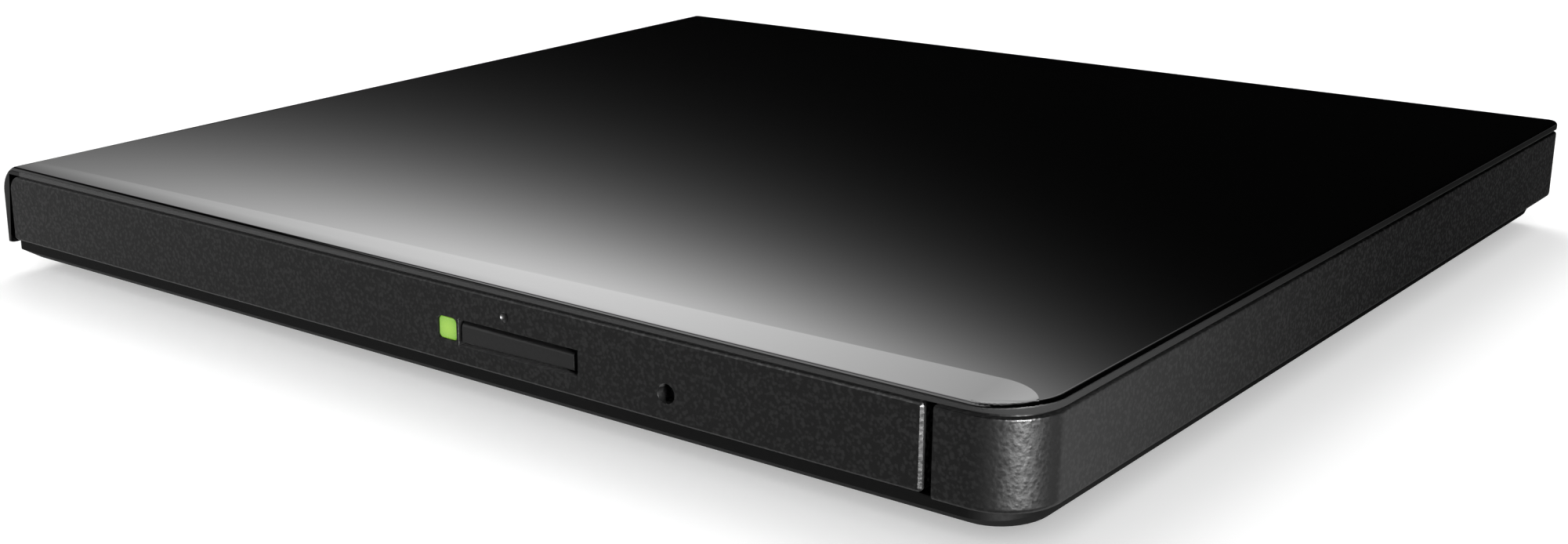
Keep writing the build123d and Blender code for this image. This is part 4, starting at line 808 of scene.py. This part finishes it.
@dataclass
class CaseWalls:
    """The matt walls: right, rear, left inner wall and the front right block.

    Attributes:
        wall: Thickness of the right and rear walls.
        left_wall: Thickness of the inner wall behind the skirt.
        block_gap: Gap between the bezel and the block.
        block_depth: How far the block reaches back.
        seam: Height of the shadow gap under the cover.
        seam_depth: Depth of that gap.
        front_corner: Plan radius of the front right corner.
        rear_corner: Plan radius of the rear right corner.
        edge: Radius of the broken edges.
        foot_edge: Radius along the foot of the walls.
        socket_gap: Room round the USB socket.
    """

    wall: float = 2.0 * MM
    left_wall: float = 1.4 * MM
    block_gap: float = 0.25 * MM
    block_depth: float = 9.0 * MM
    seam: float = 0.3 * MM
    seam_depth: float = 0.7 * MM
    front_corner: float = 6.0 * MM
    rear_corner: float = 1.5 * MM
    edge: float = 0.22 * MM
    foot_edge: float = 0.6 * MM
    socket_gap: float = 0.2 * MM

    def build(self) -> None:
        """Models the walls and hangs them on the case."""
        low, high = self.low, self.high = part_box("case_body")
        walls = self.slab("case_walls", low, high)
        room_low = (low.x + self.left_wall, low.y + self.wall, low.z - MM)
        walls.cut(self.slab("room", room_low, high + Vector((-self.wall, -self.wall, MM)), self.wall))
        block_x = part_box("front_bezel")[1].x + self.block_gap
        chassis_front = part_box("drive_chassis")[0].y
        walls.cut(Piece.block("bay", low - BEYOND, (block_x, chassis_front, high.z + MM)))
        inner_low = (low.x + self.left_wall, low.y - MM, low.z - MM)
        walls.cut(Piece.block("inner", inner_low, (block_x, low.y + self.block_depth + MM, high.z + MM)))
        self.cut_seam(walls)
        self.cut_socket(walls)
        walls.clean()
        top, foot = high.z - self.seam - NEAR, at(z=low.z)
        walls.round_sharp(50, self.edge, 2, lambda a, b: min(a.z, b.z) > top and self.on_outline(a, b))
        walls.round_sharp(50, self.foot_edge, 4, lambda a, b: foot(a, b) and self.on_outline(a, b))
        walls.smooth()
        walls.place("root", Finishes.case_matt, "case_body")

    def slab(
        self, name: str, low: Iterable[float], high: Vector, inset: float = 0.0, rear: float = 0.4 * MM,
        segments: int = 10,
    ) -> Piece:
        """Models a slab with the walls' rounded right corners.

        Args:
            name: The object's name.
            low: Lowest corner.
            high: Highest corner.
            inset: How far its sides lie inside the walls' outer faces.
            rear: Least radius of the rear corner.
            segments: Faces round the rear corner.

        Returns:
            The slab.
        """
        slab = Piece.block(name, low, high)
        slab.round_edges(at(x=high.x, y=low[1]), self.front_corner - inset, 20)
        slab.round_edges(at(x=high.x, y=high.y), max(self.rear_corner - inset, rear), segments)
        return slab

    def on_outline(self, a: Vector, b: Vector) -> bool:
        """Tells whether an edge is on the outer outline in plan.

        Args:
            a: One end of the edge.
            b: The other end.

        Returns:
            True on the outline, False inside the walls.
        """
        low, high, margin = self.low, self.high, 0.05 * MM
        middle = ((a + b) / 2).xy
        for side, radius, way in ((low.y, self.front_corner, -1), (high.y, self.rear_corner, 1)):
            centre = Vector((high.x - radius, side - way * radius))
            if middle.x > centre.x and (middle.y - centre.y) * way > 0:
                return (middle - centre).length > radius - margin
        return middle.x > high.x - margin or not low.y + margin < middle.y < high.y - margin

    def cut_seam(self, walls: Piece) -> None:
        """Steps the top of the outer faces back, for the shadow gap under the cover.

        Args:
            walls: The walls so far.
        """
        low, high, depth = self.low, self.high, self.seam_depth
        shelf = high.z - self.seam
        ring = Piece.block("ring", (low.x - 5 * MM, low.y - 5 * MM, shelf), high + Vector((5 * MM, 5 * MM, MM)))
        core_low = (low.x - 6 * MM, low.y + depth, shelf - MM)
        ring.cut(self.slab("core", core_low, high + Vector((-depth, -depth, 2 * MM)), depth, segments=14))
        walls.cut(ring)

    def cut_socket(self, walls: Piece) -> None:
        """Opens the rear wall round the USB socket, down to the pan.

        Args:
            walls: The walls so far.
        """
        low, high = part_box("usb_socket_shell")
        low.z = self.low.z - MM
        gap = Vector((self.socket_gap, 0, self.socket_gap))
        opening = Piece.block("opening", low - gap, high + gap + Vector((0, 3 * MM, 0)))
        opening.round_sharp(80, 0.5 * MM, 3, along_y)
        walls.cut(opening)


@dataclass
class Bezel:
    """The tray's front, the eject button and the light window.

    Attributes:
        left_reach: How far its left end reaches into the thinner part of the skirt.
        right_room: How far its right end stays back from the block, besides the gap.
        corner: Radius of its top left corner.
        small_corner: Radius of its other corners.
        edge: Width of the broken front edge.
        face: Thickness of the front face.
        wall: Thickness of its edges behind the face.
        edge_round: Radius of the edges of the slot and the release hole.
        flange: How far the button's flange stands out on each side.
        flange_thick: Thickness of the flange.
        flange_low: How much lower its top is than the button's box.
        key_top: Radius of the button's top front edge.
        key_edge: Radius of its other front edges.
        key_stem: Half the width of the button's stem.
        button_gap: Room round the button.
        button_lean: How much further back the button's right end lies than its left end.
        button_short: How far the button ends before its slot's right end, besides the gap.
        button_droop: How much lower the top of its right end is.
        window_gap: Room round the light window.
        window_corner: Plan radius of the window's corners.
        window_crown: Radius of its front edges.
        window_stem: Half the width of its stem.
        pin_radius: Radius of the release hole.
        pin_from_left: Release hole, from the left end.
        pin_rise: Release hole, from the lower edge.
        dimple_radius: Radius of the small dimple over the button.
        dimple_from_left: Dimple, from the left end.
        dimple_rise: Dimple, from the lower edge.
        dimple_out: How far the middle of its ball stands off the face, in radii.
        behind: Clearance between the face and what lies behind it.
    """

    left_reach: float = 1.4 * MM
    right_room: float = 0.8 * MM
    corner: float = 1.8 * MM
    small_corner: float = 0.45 * MM
    edge: float = 0.26 * MM
    face: float = 1.6 * MM
    wall: float = 1.2 * MM
    edge_round: float = 0.12 * MM
    flange: float = 0.9 * MM
    flange_thick: float = 0.5 * MM
    flange_low: float = 0.15 * MM
    key_top: float = 0.45 * MM
    key_edge: float = 0.16 * MM
    key_stem: float = 1.5 * MM
    button_gap: float = 0.32 * MM
    button_lean: float = 0.4 * MM
    button_short: float = 0.55 * MM
    button_droop: float = 0.22 * MM
    window_gap: float = 0.05 * MM
    window_corner: float = 0.5 * MM
    window_crown: float = 0.28 * MM
    window_stem: float = 0.8 * MM
    pin_radius: float = 1.0 * MM
    pin_from_left: float = 103.05 * MM
    pin_rise: float = 2.8 * MM
    dimple_radius: float = 0.62 * MM
    dimple_from_left: float = 82.6 * MM
    dimple_rise: float = 6.3 * MM
    dimple_out: float = 0.45
    behind: float = 0.1 * MM

    def build(self) -> None:
        """Models the bezel, the button and the window."""
        self.build_front()
        self.build_button()
        self.build_window()

    def button_box(self) -> tuple[Vector, Vector]:
        """Gives the corners of the button's cap, which its flange stands out from."""
        low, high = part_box("eject_button")
        return Vector((low.x + self.flange, low.y, low.z)), Vector((high.x - self.flange, high.y, high.z))

    def opening(self, low: Vector, high: Vector, gap: float) -> Piece:
        """Makes the tool that opens the front face round a smaller piece, with a gap."""
        front, back = self.low.y - MM, self.low.y + self.face + MM
        return Piece.block("opening", (low.x - gap, front, low.z - gap), (high.x + gap, back, high.z + gap))

    def build_front(self) -> None:
        """Models the bezel and hangs it on the tray."""
        low, high = self.low, self.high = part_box("front_bezel")
        left = low.x - self.left_reach
        high.x -= self.right_room
        bezel = Piece.block("tray_bezel", (left, low.y, low.z), high)
        for x in (left, high.x):
            for z in (low.z, high.z):
                radius = self.corner if (x, z) == (left, high.z) else self.small_corner
                bezel.round_edges(at(x=x, z=z), radius, 8)
        on_face = at(y=low.y)
        bezel.round_edges(on_face, self.edge, 1)
        hollow_low = (low.x + self.wall + self.corner / 2, low.y + self.face, low.z + self.wall)
        bezel.cut(Piece.block("hollow", hollow_low, (high.x - self.wall, high.y + MM, high.z - self.wall)))
        button_low, button_high = self.button_box()
        bezel.cut(self.opening(button_low, button_high, self.button_gap))
        window = self.opening(*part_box("light_pipe"), self.window_gap)
        window.round_edges(along_y, self.window_corner + NEAR, 5)
        bezel.cut(window)
        pin = Vector((low.x + self.pin_from_left, low.y, low.z + self.pin_rise))
        bezel.cut(Piece.bar("pin", pin, self.pin_radius, 6 * MM, Along.Y, 48))
        dimple = (low.x + self.dimple_from_left, low.y - self.dimple_radius * self.dimple_out, low.z + self.dimple_rise)
        bezel.cut(Piece(
            "dimple", bpy.ops.mesh.primitive_uv_sphere_add, segments=32, ring_count=16,
            radius=self.dimple_radius, location=dimple,
        ))
        bezel.clean()
        reach = 0.5 * MM

        def on_slot(end: Vector) -> bool:
            """Tells whether a point is on the border of the button's slot."""
            across = button_low.x - reach < end.x < button_high.x + reach
            return across and button_low.z - reach < end.z < button_high.z + reach

        bezel.round_sharp(60, self.edge_round, 2, lambda a, b: on_face(a, b) and (
            (a - pin).length < self.pin_radius + NEAR or on_slot(a) and on_slot(b)
        ))
        bezel.smooth()
        bezel.place("tray", Finishes.case_matt, "front_bezel")

    def build_button(self) -> None:
        """Models the eject button, with a broken top edge and its flange and stem."""
        low, high = self.button_box()
        whole_low, whole_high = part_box("eject_button")
        flange_y = low.y + self.face + self.behind
        right = high.x - self.button_short
        cap = Piece.block("eject_key", low, (right, flange_y + self.behind, high.z))
        cap.shift(at(x=right, y=low.y), (0, self.button_lean, 0))
        cap.shift(at(x=right, z=high.z), (0, 0, -self.button_droop))
        front, top = low.y + self.button_lean + NEAR, high.z - self.button_droop - NEAR
        cap.round_edges(lambda a, b: max(a.y, b.y) < front and min(a.z, b.z) > top, self.key_top, 3, 0.4)
        cap.round_sharp(60, self.key_edge, 2, lambda a, b: max(a.y, b.y) < front)
        flange_high = (whole_high.x, flange_y + self.flange_thick, whole_high.z - self.flange_low)
        cap.cut(Piece.block("flange", (whole_low.x, flange_y, whole_low.z), flange_high), Cut.ADD)
        middle, half = (low.x + high.x) / 2, self.key_stem
        stem_high = (middle + half, whole_high.y, (low.z + high.z) / 2)
        cap.cut(Piece.block("stem", (middle - half, flange_y + 0.3 * MM, low.z), stem_high), Cut.ADD)
        cap.clean()
        cap.smooth()
        cap.place("eject_button", Finishes.button_plastic, "eject_button")

    def build_window(self) -> None:
        """Models the light window with its crowned face and its stem."""
        low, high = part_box("light_pipe")
        back = low.y - self.behind + self.face
        head = Piece.block("light_window", low, (high.x, back, high.z))
        head.round_edges(along_y, self.window_corner, 5)
        head.round_edges(at(y=low.y), self.window_crown, 3)
        middle, half = (low.x + high.x) / 2, self.window_stem
        stem_low = (middle - half, back - 0.3 * MM, low.z)
        head.cut(Piece.block("stem", stem_low, (middle + half, high.y, low.z + 2 * half)), Cut.ADD)
        head.clean()
        head.smooth()
        centre = (middle, low.y, (low.z + high.z) / 2)
        head.place("tray", replace(Finishes.window_plastic, centre=centre), "light_pipe")


@dataclass
class Underside:
    """The pan, its feet and its screws.

    Attributes:
        front_left: Plan radius of the pan's front left corner.
        front_right: Plan radius of its front right corner.
        rear: Plan radius of its rear corners.
        slope_depth: How far the front slope runs back.
        slope_rise: How high it rises.
        side_slope: How far the slope along the right side runs in.
        left_slope: How far the slope along the left side runs in.
        left_reach: How far the pan reaches under the skirt, past the case's width inside.
        rear_reach: How far the pan reaches under the rear wall.
        floor: Thickness of the floor.
        wall: Thickness of the side walls.
        front_wall: Thickness of the front wall.
        edge: Radius of the lower edges.
        foot: Radius of the feet.
        foot_round: Radius of their lower edge.
        foot_ring: How far in the raised middle of the sole starts, its slope's width and its height.
        foot_recess: Depth of the round seats of the feet.
        foot_seat: Radius of those seats.
        screw_head: Radius of the screws' heads.
        screw_bore: Radius of the seats of the screw heads.
        screw_recess: Depth of those seats.
        screw_hole: Radius of the holes for their shanks.
        screw_pitch: Distance between the two screws on the right.
        label_low: Front left corner of the bare label field.
        label_high: Its rear right corner.
        label_recess: Its depth.
        label_corner: Radius of its corners.
    """

    front_left: float = 1.3 * MM
    front_right: float = 4.5 * MM
    rear: float = 2.0 * MM
    slope_depth: float = 2.5 * MM
    slope_rise: float = 1.6 * MM
    side_slope: float = 0.6 * MM
    left_slope: float = 1.1 * MM
    left_reach: float = 1.6 * MM
    rear_reach: float = 1.4 * MM
    floor: float = 1.2 * MM
    wall: float = 1.0 * MM
    front_wall: float = 1.5 * MM
    edge: float = 0.45 * MM
    foot: float = 4.0 * MM
    foot_round: float = 0.35 * MM
    foot_ring: Point = (0.7 * MM, 0.2 * MM, 0.12 * MM)
    foot_recess: float = 0.3 * MM
    foot_seat: float = 4.1 * MM
    screw_head: float = 1.9 * MM
    screw_bore: float = 2.0 * MM
    screw_recess: float = 0.6 * MM
    screw_hole: float = 1.03 * MM
    screw_pitch: float = 56.0 * MM
    label_low: tuple[float, float] = (-34 * MM, -20 * MM)
    label_high: tuple[float, float] = (34 * MM, 22 * MM)
    label_recess: float = 0.2 * MM
    label_corner: float = 2.0 * MM

    def build(self) -> None:
        """Models the pan, the feet and the screws' seats."""
        low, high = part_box("bottom_cover")
        left = low.x - self.left_reach
        high.y += self.rear_reach
        pan = Piece.block("case_pan", (left, low.y, low.z), high)
        slopes = (
            ((0, low.y), (0, self.slope_depth)), ((high.x, 0), (-self.side_slope, 0)),
            ((left, 0), (self.left_slope, 0)),
        )
        for place, depth in slopes:
            away = Vector((*depth, 0)).normalized() * self.slope_rise
            with pan.chosen(Kind.FACES):
                bpy.ops.mesh.bisect(
                    plane_co=(*place, low.z + self.slope_rise), use_fill=True, clear_inner=True,
                    plane_no=(away + Vector((0, 0, Vector(depth).length))).normalized(),
                )
        corners = (
            (left, low.y, self.front_left), (high.x, low.y, self.front_right),
            (left, high.y, self.rear), (high.x, high.y, self.rear),
        )
        for x, y, radius in corners:
            corner = Vector((x, y))
            pan.round_edges(lambda a, b: all((end.xy - corner).length < 3 * MM for end in (a, b)), radius, 10)
        self.cut_seats(pan, low.z)
        hollow_low = Vector((low.x + self.wall, low.y + self.front_wall, low.z + self.floor))
        hollow_high = Vector((high.x - self.wall, high.y - self.wall, high.z + MM))
        hollow = Piece.block("hollow", hollow_low, hollow_high)
        hollow.round_edges(at(x=hollow_high.x, y=hollow_low.y), self.front_right, 10)
        pan.cut(hollow)
        pan.clean()
        rim, foot = self.slope_depth + 0.5 * MM, at(z=low.z)
        pan.round_sharp(20, self.edge, 3, lambda a, b: foot(a, b) and (
            min(a.y, b.y) < low.y + rim or max(a.y, b.y) > high.y - rim or max(abs(a.x), abs(b.x)) > high.x - rim
        ))
        pan.smooth()
        # The pan wears the darker finish that paints the underside's shade.
        pan.place("root", Finishes.pan_matt, "bottom_cover")
        self.build_feet()

    def cut_seats(self, pan: Piece, level: float) -> None:
        """Sinks the seats of the feet, the screws and the bare label into the pan.

        Args:
            pan: The pan so far.
            level: Height of its lower face.
        """
        feet, screws = self.feet(), self.screws()
        seats = [Piece.bar("seat", (*place, level), self.foot_seat, 2 * self.foot_recess) for place in feet]
        deep = 2 * self.screw_recess
        seats += [Piece.bar("bore", (*place, level), self.screw_bore, deep, sides=48) for place in screws]
        label = Piece.block("label", (*self.label_low, level - MM), (*self.label_high, level + self.label_recess))
        label.round_edges(lambda a, b: abs(a.z - b.z) > CLEARLY, self.label_corner, 6)
        pan.cut(seats[0].join([*seats, label]))
        holes = [Piece.bar("hole", (*place, level), self.screw_hole, 6 * MM, sides=32) for place in screws]
        pan.cut(holes[0].join(holes))

    def feet(self) -> list[Vector]:
        """Places the four feet.

        Returns:
            Their middles.
        """
        low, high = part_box("rubber_feet")
        xs, ys = ((low[axis] + self.foot, high[axis] - self.foot) for axis in (0, 1))
        return [Vector((x, y)) for x in xs for y in ys]

    def screws(self) -> list[Vector]:
        """Places the three case screws.

        Returns:
            Their middles.
        """
        low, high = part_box("case_screws")
        left, right, front, rear = (
            low.x + self.screw_head, high.x - self.screw_head, low.y + self.screw_head, high.y - self.screw_head
        )
        return [Vector((right, front)), Vector((right, front + self.screw_pitch)), Vector((left, rear))]

    def build_feet(self) -> None:
        """Models a foot on each seat, with a ring round its sole."""
        low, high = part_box("rubber_feet")
        feet = []
        for place in self.feet():
            foot = Piece.bar("foot_pads", (*place, (low.z + high.z) / 2), self.foot, high.z - low.z)
            foot.round_edges(at(z=low.z), self.foot_round, 4)
            with foot.chosen(Kind.FACES, lambda middle, normal: normal.z < -0.999):
                for width in self.foot_ring[:2]:
                    bpy.ops.mesh.inset(thickness=width)
                bpy.ops.transform.translate(value=(0, 0, self.foot_ring[2]))
            feet.append(foot)
        pads = feet[0].join(feet)
        pads.smooth()
        pads.place("root", Finishes.foot_rubber, "rubber_feet")


class Carried:
    """Frame nodes whose shape stays as it is, by their finish."""

    nodes: dict[Finish, str] = {
        Finishes.screw_steel: "case_screws chassis_screws traverse_screws board_screws drive_board_screws",
        Finishes.pad_foam: "lower_pads upper_pads",
        Finishes.sheet_steel: "drive_chassis drive_top_plate bottom_shield",
        Finishes.rail_steel: "latch_post fixed_rail_left fixed_rail_right",
        Finishes.rail_plastic: "slide_rail_left slide_rail_right",
        Finishes.tray_plastic: "disc_tray",
        Finishes.board_green: "tray_board bridge_board drive_circuit_board",
        Finishes.led_body: "indicator_led",
        Finishes.connector_black: "button_switch drive_connector bridge_connector usb_socket_insert",
        Finishes.frame_steel: "traverse_frame",
        Finishes.bush_rubber: "damper_bushes",
        Finishes.rod_steel: "guide_rod_front guide_rod_rear hub_balls lead_screw eject_plunger",
        Finishes.motor_steel: "spindle_motor_base spindle_rotor sled_motor latch_solenoid",
        Finishes.turntable_rubber: "turntable",
        Finishes.hub_plastic: "hub_cap",
        Finishes.sled_metal: "pickup_sled",
        Finishes.cover_sheet: "pickup_cover",
        Finishes.nut_plastic: "sled_nut latch_lever",
        Finishes.holder_plastic: "lens_holder",
        Finishes.lens_glass: "objective_lens",
        Finishes.chip_black: "bridge_board_chips drive_board_chips",
        Finishes.socket_shell: "usb_socket_shell",
        Finishes.flex_film: "flex_cable",
        Finishes.spring_steel: "eject_spring",
    }

    def dress(self) -> None:
        """Gives each carried node its finish."""
        for finish, names in self.nodes.items():
            for node in names.split():
                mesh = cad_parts[node].data
                mesh.materials.clear()
                mesh.materials.append(finish.material())
                log.info("%s: carried over in %s", node, finish.name)


@dataclass(frozen=True)
class Lamp:
    """A soft lamp.

    Attributes:
        name: Its name.
        place: Where it hangs, in metres.
        power: Its power, in watts.
        width: Its width.
        height: Its height, or 0 for a square one.
        aim: Where it points.
        spread: Width of its beam, in degrees.
        hidden: The kinds of ray that pass it by.
    """

    name: str
    place: Point
    power: float
    width: float
    height: float = 0.0
    aim: Point = (0.0, 0.0, 0.0)
    spread: float = 180.0
    hidden: tuple[str, ...] = ("glossy",)

    def hang(self) -> None:
        """Adds the lamp to the scene."""
        data = bpy.data.lights.new(self.name, "AREA")
        data.size, data.energy, data.spread = self.width, self.power, math.radians(self.spread)
        if self.height:
            data.shape, data.size_y = "RECTANGLE", self.height
        lamp = bpy.data.objects.new(self.name, data)
        bpy.context.scene.collection.objects.link(lamp)
        lamp.location = self.place
        lamp.rotation_euler = (Vector(self.place) - Vector(self.aim)).to_track_quat("Z", "Y").to_euler()
        for way in self.hidden:
            setattr(lamp, "visible_" + way, False)


@dataclass(frozen=True)
class RearGlow:
    """The big soft light behind on the left, which fades towards the horizon. Angles are in degrees.

    Attributes:
        turn: Where it is brightest, to the left of the back.
        width: How wide it is.
        strength: Its brightness there.
        least: Its brightness far from there.
        climb_turn: Where it reaches lowest.
        climb_width: How wide that place is.
        lean: Shares of the turn and of the rise in how far up it a direction lies.
        foot: How far up it fades out.
        most: Highest power of its growth above the foot.
    """

    turn: float = 39.64
    width: float = 17.14
    strength: float = 5.65
    least: float = 0.003
    climb_turn: float = 30.3
    climb_width: float = 14.4
    lean: tuple[float, float] = (0.333, 0.947)
    foot: float = 27.95
    most: float = 4.14

    def light(self, sheet: Sheet, turn: Socket, rise: Socket) -> Socket:
        """Works out its brightness.

        Args:
            sheet: The node tree.
            turn: Degrees to the left of the back.
            rise: Degrees above the horizon.

        Returns:
            The brightness.
        """
        def bell(middle: float, width: float) -> Socket:
            """Gives a bell curve over the turn."""
            away = sheet.math("DIVIDE", sheet.math("SUBTRACT", turn, middle), width)
            return sheet.math("EXPONENT", sheet.math("MULTIPLY", sheet.math("MULTIPLY", away, away), -1.0))

        peak = sheet.math("ADD", sheet.math("MULTIPLY", bell(self.turn, self.width), self.strength), self.least)
        slant = sheet.math(
            "ADD", sheet.math("MULTIPLY", turn, self.lean[0]), sheet.math("MULTIPLY", rise, self.lean[1])
        )
        growth = sheet.math("MINIMUM", sheet.math("SUBTRACT", slant, self.foot), self.most)
        climb = sheet.math("MULTIPLY", sheet.math("EXPONENT", growth), bell(self.climb_turn, self.climb_width))
        share = sheet.math("MULTIPLY", sheet.math("DIVIDE", climb, peak), -1.0)
        return sheet.math("MULTIPLY", peak, sheet.math("SUBTRACT", 1.0, sheet.math("EXPONENT", share)))


@dataclass(frozen=True)
class Card:
    """A soft-edged bright card in the surround. Angles are in degrees.

    Attributes:
        turn: Its middle, to the left of the back.
        half_turn: Half its width.
        turn_soft: Width of its soft sides.
        rise: Its middle, above the horizon.
        half_rise: Half its height.
        rise_soft: Height of its soft ends.
        strength: Its brightness.
    """

    turn: float
    half_turn: float
    turn_soft: float
    rise: float
    half_rise: float
    rise_soft: float
    strength: float

    def light(self, sheet: Sheet, turn: Socket, rise: Socket) -> Socket:
        """Works out its brightness.

        Args:
            sheet: The node tree.
            turn: Degrees to the left of the back.
            rise: Degrees above the horizon.

        Returns:
            The brightness.
        """
        def window(value: Socket, middle: float, half: float, soft: float) -> Socket:
            """Gives 1 within a range of angles, with soft ends."""
            wrapped = sheet.math("WRAP", sheet.math("SUBTRACT", value, middle), 180.0, -180.0)
            return sheet.ramp(sheet.math("ABSOLUTE", wrapped), half - soft / 2, half + soft / 2, 1.0, 0.0)

        across = window(turn, self.turn, self.half_turn, self.turn_soft)
        up = window(rise, self.rise, self.half_rise, self.rise_soft)
        return sheet.math("MULTIPLY", sheet.math("MULTIPLY", across, up), self.strength)


@dataclass
class Studio:
    """The floor, the lamps and the reflected surround.

    Attributes:
        floor_size: Width of the floor.
        dome_radius: Radius of the surround that gloss reflects.
        ambient: Level of the light from all around.
        floor_glow: Share of the floor's white that doesn't depend on light.
        backdrop: Brightness of the surround between its cards.
        lamps: The lamps; gloss shows only the strip beside the front right corner.
        cards: What gloss shows of the surround, from the back to the front.
    """

    floor_size: float = 6.0
    dome_radius: float = 3.0
    ambient: float = 0.55
    floor_glow: float = 0.4
    backdrop: float = 0.002
    lamps: tuple[Lamp, ...] = (
        Lamp("key_lamp", (-0.5, 0.45, 0.75), 5.0, 0.7),
        Lamp("front_lamp", (0.35, -0.8, 0.6), 2.2, 0.6),
        Lamp(
            "corner_strip", (0.49, -0.345, 0.05), 4.8, 0.16, 0.09, (-0.03, -0.145, 0.0), 26.0,
            ("camera", "diffuse", "transmission"),
        ),
    )
    cards: tuple[RearGlow | Card, ...] = (
        RearGlow(), Card(124.0, 34.0, 9.0, 20.0, 14.0, 8.0, 2.6), Card(125.0, 50.0, 20.0, 58.0, 12.0, 8.0, 12.0),
    )

    def build(self) -> None:
        """Sets up the world, the floor, the surround and the lamps."""
        world = bpy.data.worlds.new("studio_world")
        bpy.context.scene.world = world
        world.use_nodes = True
        sheet = Sheet(world.node_tree)
        strength = sheet.level(self.seen(sheet), self.ambient, 1.0)
        sheet.feed(world.node_tree.nodes["Background"], Color=WHITE, Strength=strength)
        self.build_floor()
        self.build_surround()
        for lamp in self.lamps:
            lamp.hang()

    def seen(self, sheet: Sheet) -> Socket:
        """Tells the rays that are seen from those that only carry light.

        Args:
            sheet: The sheet to add the nodes to.

        Returns:
            A socket of 1 for rays from the camera, off gloss and through glass, and 0 for others.
        """
        path = sheet.node("LightPath").outputs
        camera_or_gloss = sheet.math("MAXIMUM", path["Is Camera Ray"], path["Is Glossy Ray"])
        return sheet.math("MAXIMUM", camera_or_gloss, path["Is Transmission Ray"])

    def build_floor(self) -> None:
        """Lays a pale floor that keeps the object's shadow."""
        floor = Piece("studio_floor", bpy.ops.mesh.primitive_plane_add, size=self.floor_size).thing
        paint = bpy.data.materials.new("floor_paint")
        paint.use_nodes = True
        sheet = Sheet(paint.node_tree)
        sheet.feed(
            paint.node_tree.nodes["Principled BSDF"], Base_Color=(0.8, 0.8, 0.8, 1.0), Roughness=0.9,
            Specular_IOR_Level=0.0, Emission_Color=WHITE,
            Emission_Strength=sheet.math("MULTIPLY", self.seen(sheet), self.floor_glow),
        )
        floor.data.materials.append(paint)

    def build_surround(self) -> None:
        """Hangs the dome of soft cards that only gloss reflects."""
        dome = Piece(
            "studio_cards", bpy.ops.mesh.primitive_uv_sphere_add, segments=64, ring_count=32, radius=self.dome_radius
        ).thing
        for way in ("camera", "diffuse", "transmission", "shadow", "volume_scatter"):
            setattr(dome, "visible_" + way, False)
        paint = bpy.data.materials.new("card_light")
        paint.use_nodes = True
        paint.cycles.emission_sampling = "NONE"
        tree = paint.node_tree
        tree.nodes.remove(tree.nodes["Principled BSDF"])
        sheet = Sheet(tree)
        emission = sheet.feed(sheet.node("Emission"), Strength=self.brightness(sheet))
        sheet.put(emission.outputs[0], tree.nodes["Material Output"].inputs[0])
        dome.data.materials.append(paint)

    def brightness(self, sheet: Sheet) -> Socket:
        """Works out how bright the surround is in each direction.

        Args:
            sheet: The node tree of the surround.

        Returns:
            The brightness.
        """
        way = sheet.node("VectorMath", operation="NORMALIZE")
        sheet.put(sheet.node("TexCoord").outputs["Object"], way.inputs[0])
        x, y, z = sheet.parts(way.outputs[0])
        turn = sheet.math("ARCTAN2", sheet.math("MULTIPLY", x, -1.0), y)
        turn = sheet.math("MULTIPLY", turn, IN_DEGREES)
        rise = sheet.math("MULTIPLY", sheet.math("ARCSINE", z), IN_DEGREES)
        total, *others = [card.light(sheet, turn, rise) for card in self.cards]
        for other in others:
            total = sheet.math("ADD", total, other)
        return sheet.math("ADD", total, self.backdrop)


@dataclass
class Camera:
    """The photograph's viewpoint.

    Attributes:
        place: Where the camera stands, in metres.
        turn: Degrees that it looks to the left of straight back.
        tilt: Degrees that it looks below the horizon.
        roll: Degrees that it leans to the right.
        lens: Focal length, in millimetres.
        sensor: Width of the sensor, in millimetres.
        shift: How far the photograph's frame lies to the right of the camera's axis, in frame widths.
        near: Least distance that it sees, in metres.
        far: Greatest distance that it sees, in metres.
    """

    place: Point = (147.98 * MM, -210.25 * MM, 73.13 * MM)
    turn: float = 40.728
    tilt: float = 16.545
    roll: float = 0.909
    lens: float = 47.47
    sensor: float = 36.0
    shift: float = 0.1177
    near: float = 5 * MM
    far: float = 20.0

    def build(self) -> None:
        """Creates the camera and makes it the scene's."""
        data = bpy.data.cameras.new("camera")
        data.sensor_width, data.lens, data.shift_x = self.sensor, self.lens, self.shift
        data.clip_start, data.clip_end = self.near, self.far
        camera = bpy.data.objects.new("camera", data)
        bpy.context.scene.collection.objects.link(camera)
        camera.location = self.place
        level = Euler((math.radians(90 - self.tilt), 0.0, math.radians(self.turn))).to_matrix()
        lean = Matrix.Rotation(math.radians(-self.roll), 3, "Z")
        camera.rotation_euler = (level @ lean).to_euler()
        bpy.context.scene.camera = camera


def main() -> None:
    """Builds the studio and every piece in order, and reports each one."""
    logging.basicConfig(level=logging.INFO, format="%(name)s: %(message)s")
    bpy.context.scene.view_settings.view_transform = "Standard"
    Camera().build()
    Studio().build()
    GlossCover().build()
    CaseWalls().build()
    Bezel().build()
    Underside().build()
    Carried().dress()


if __name__ == "__main__":
    main()
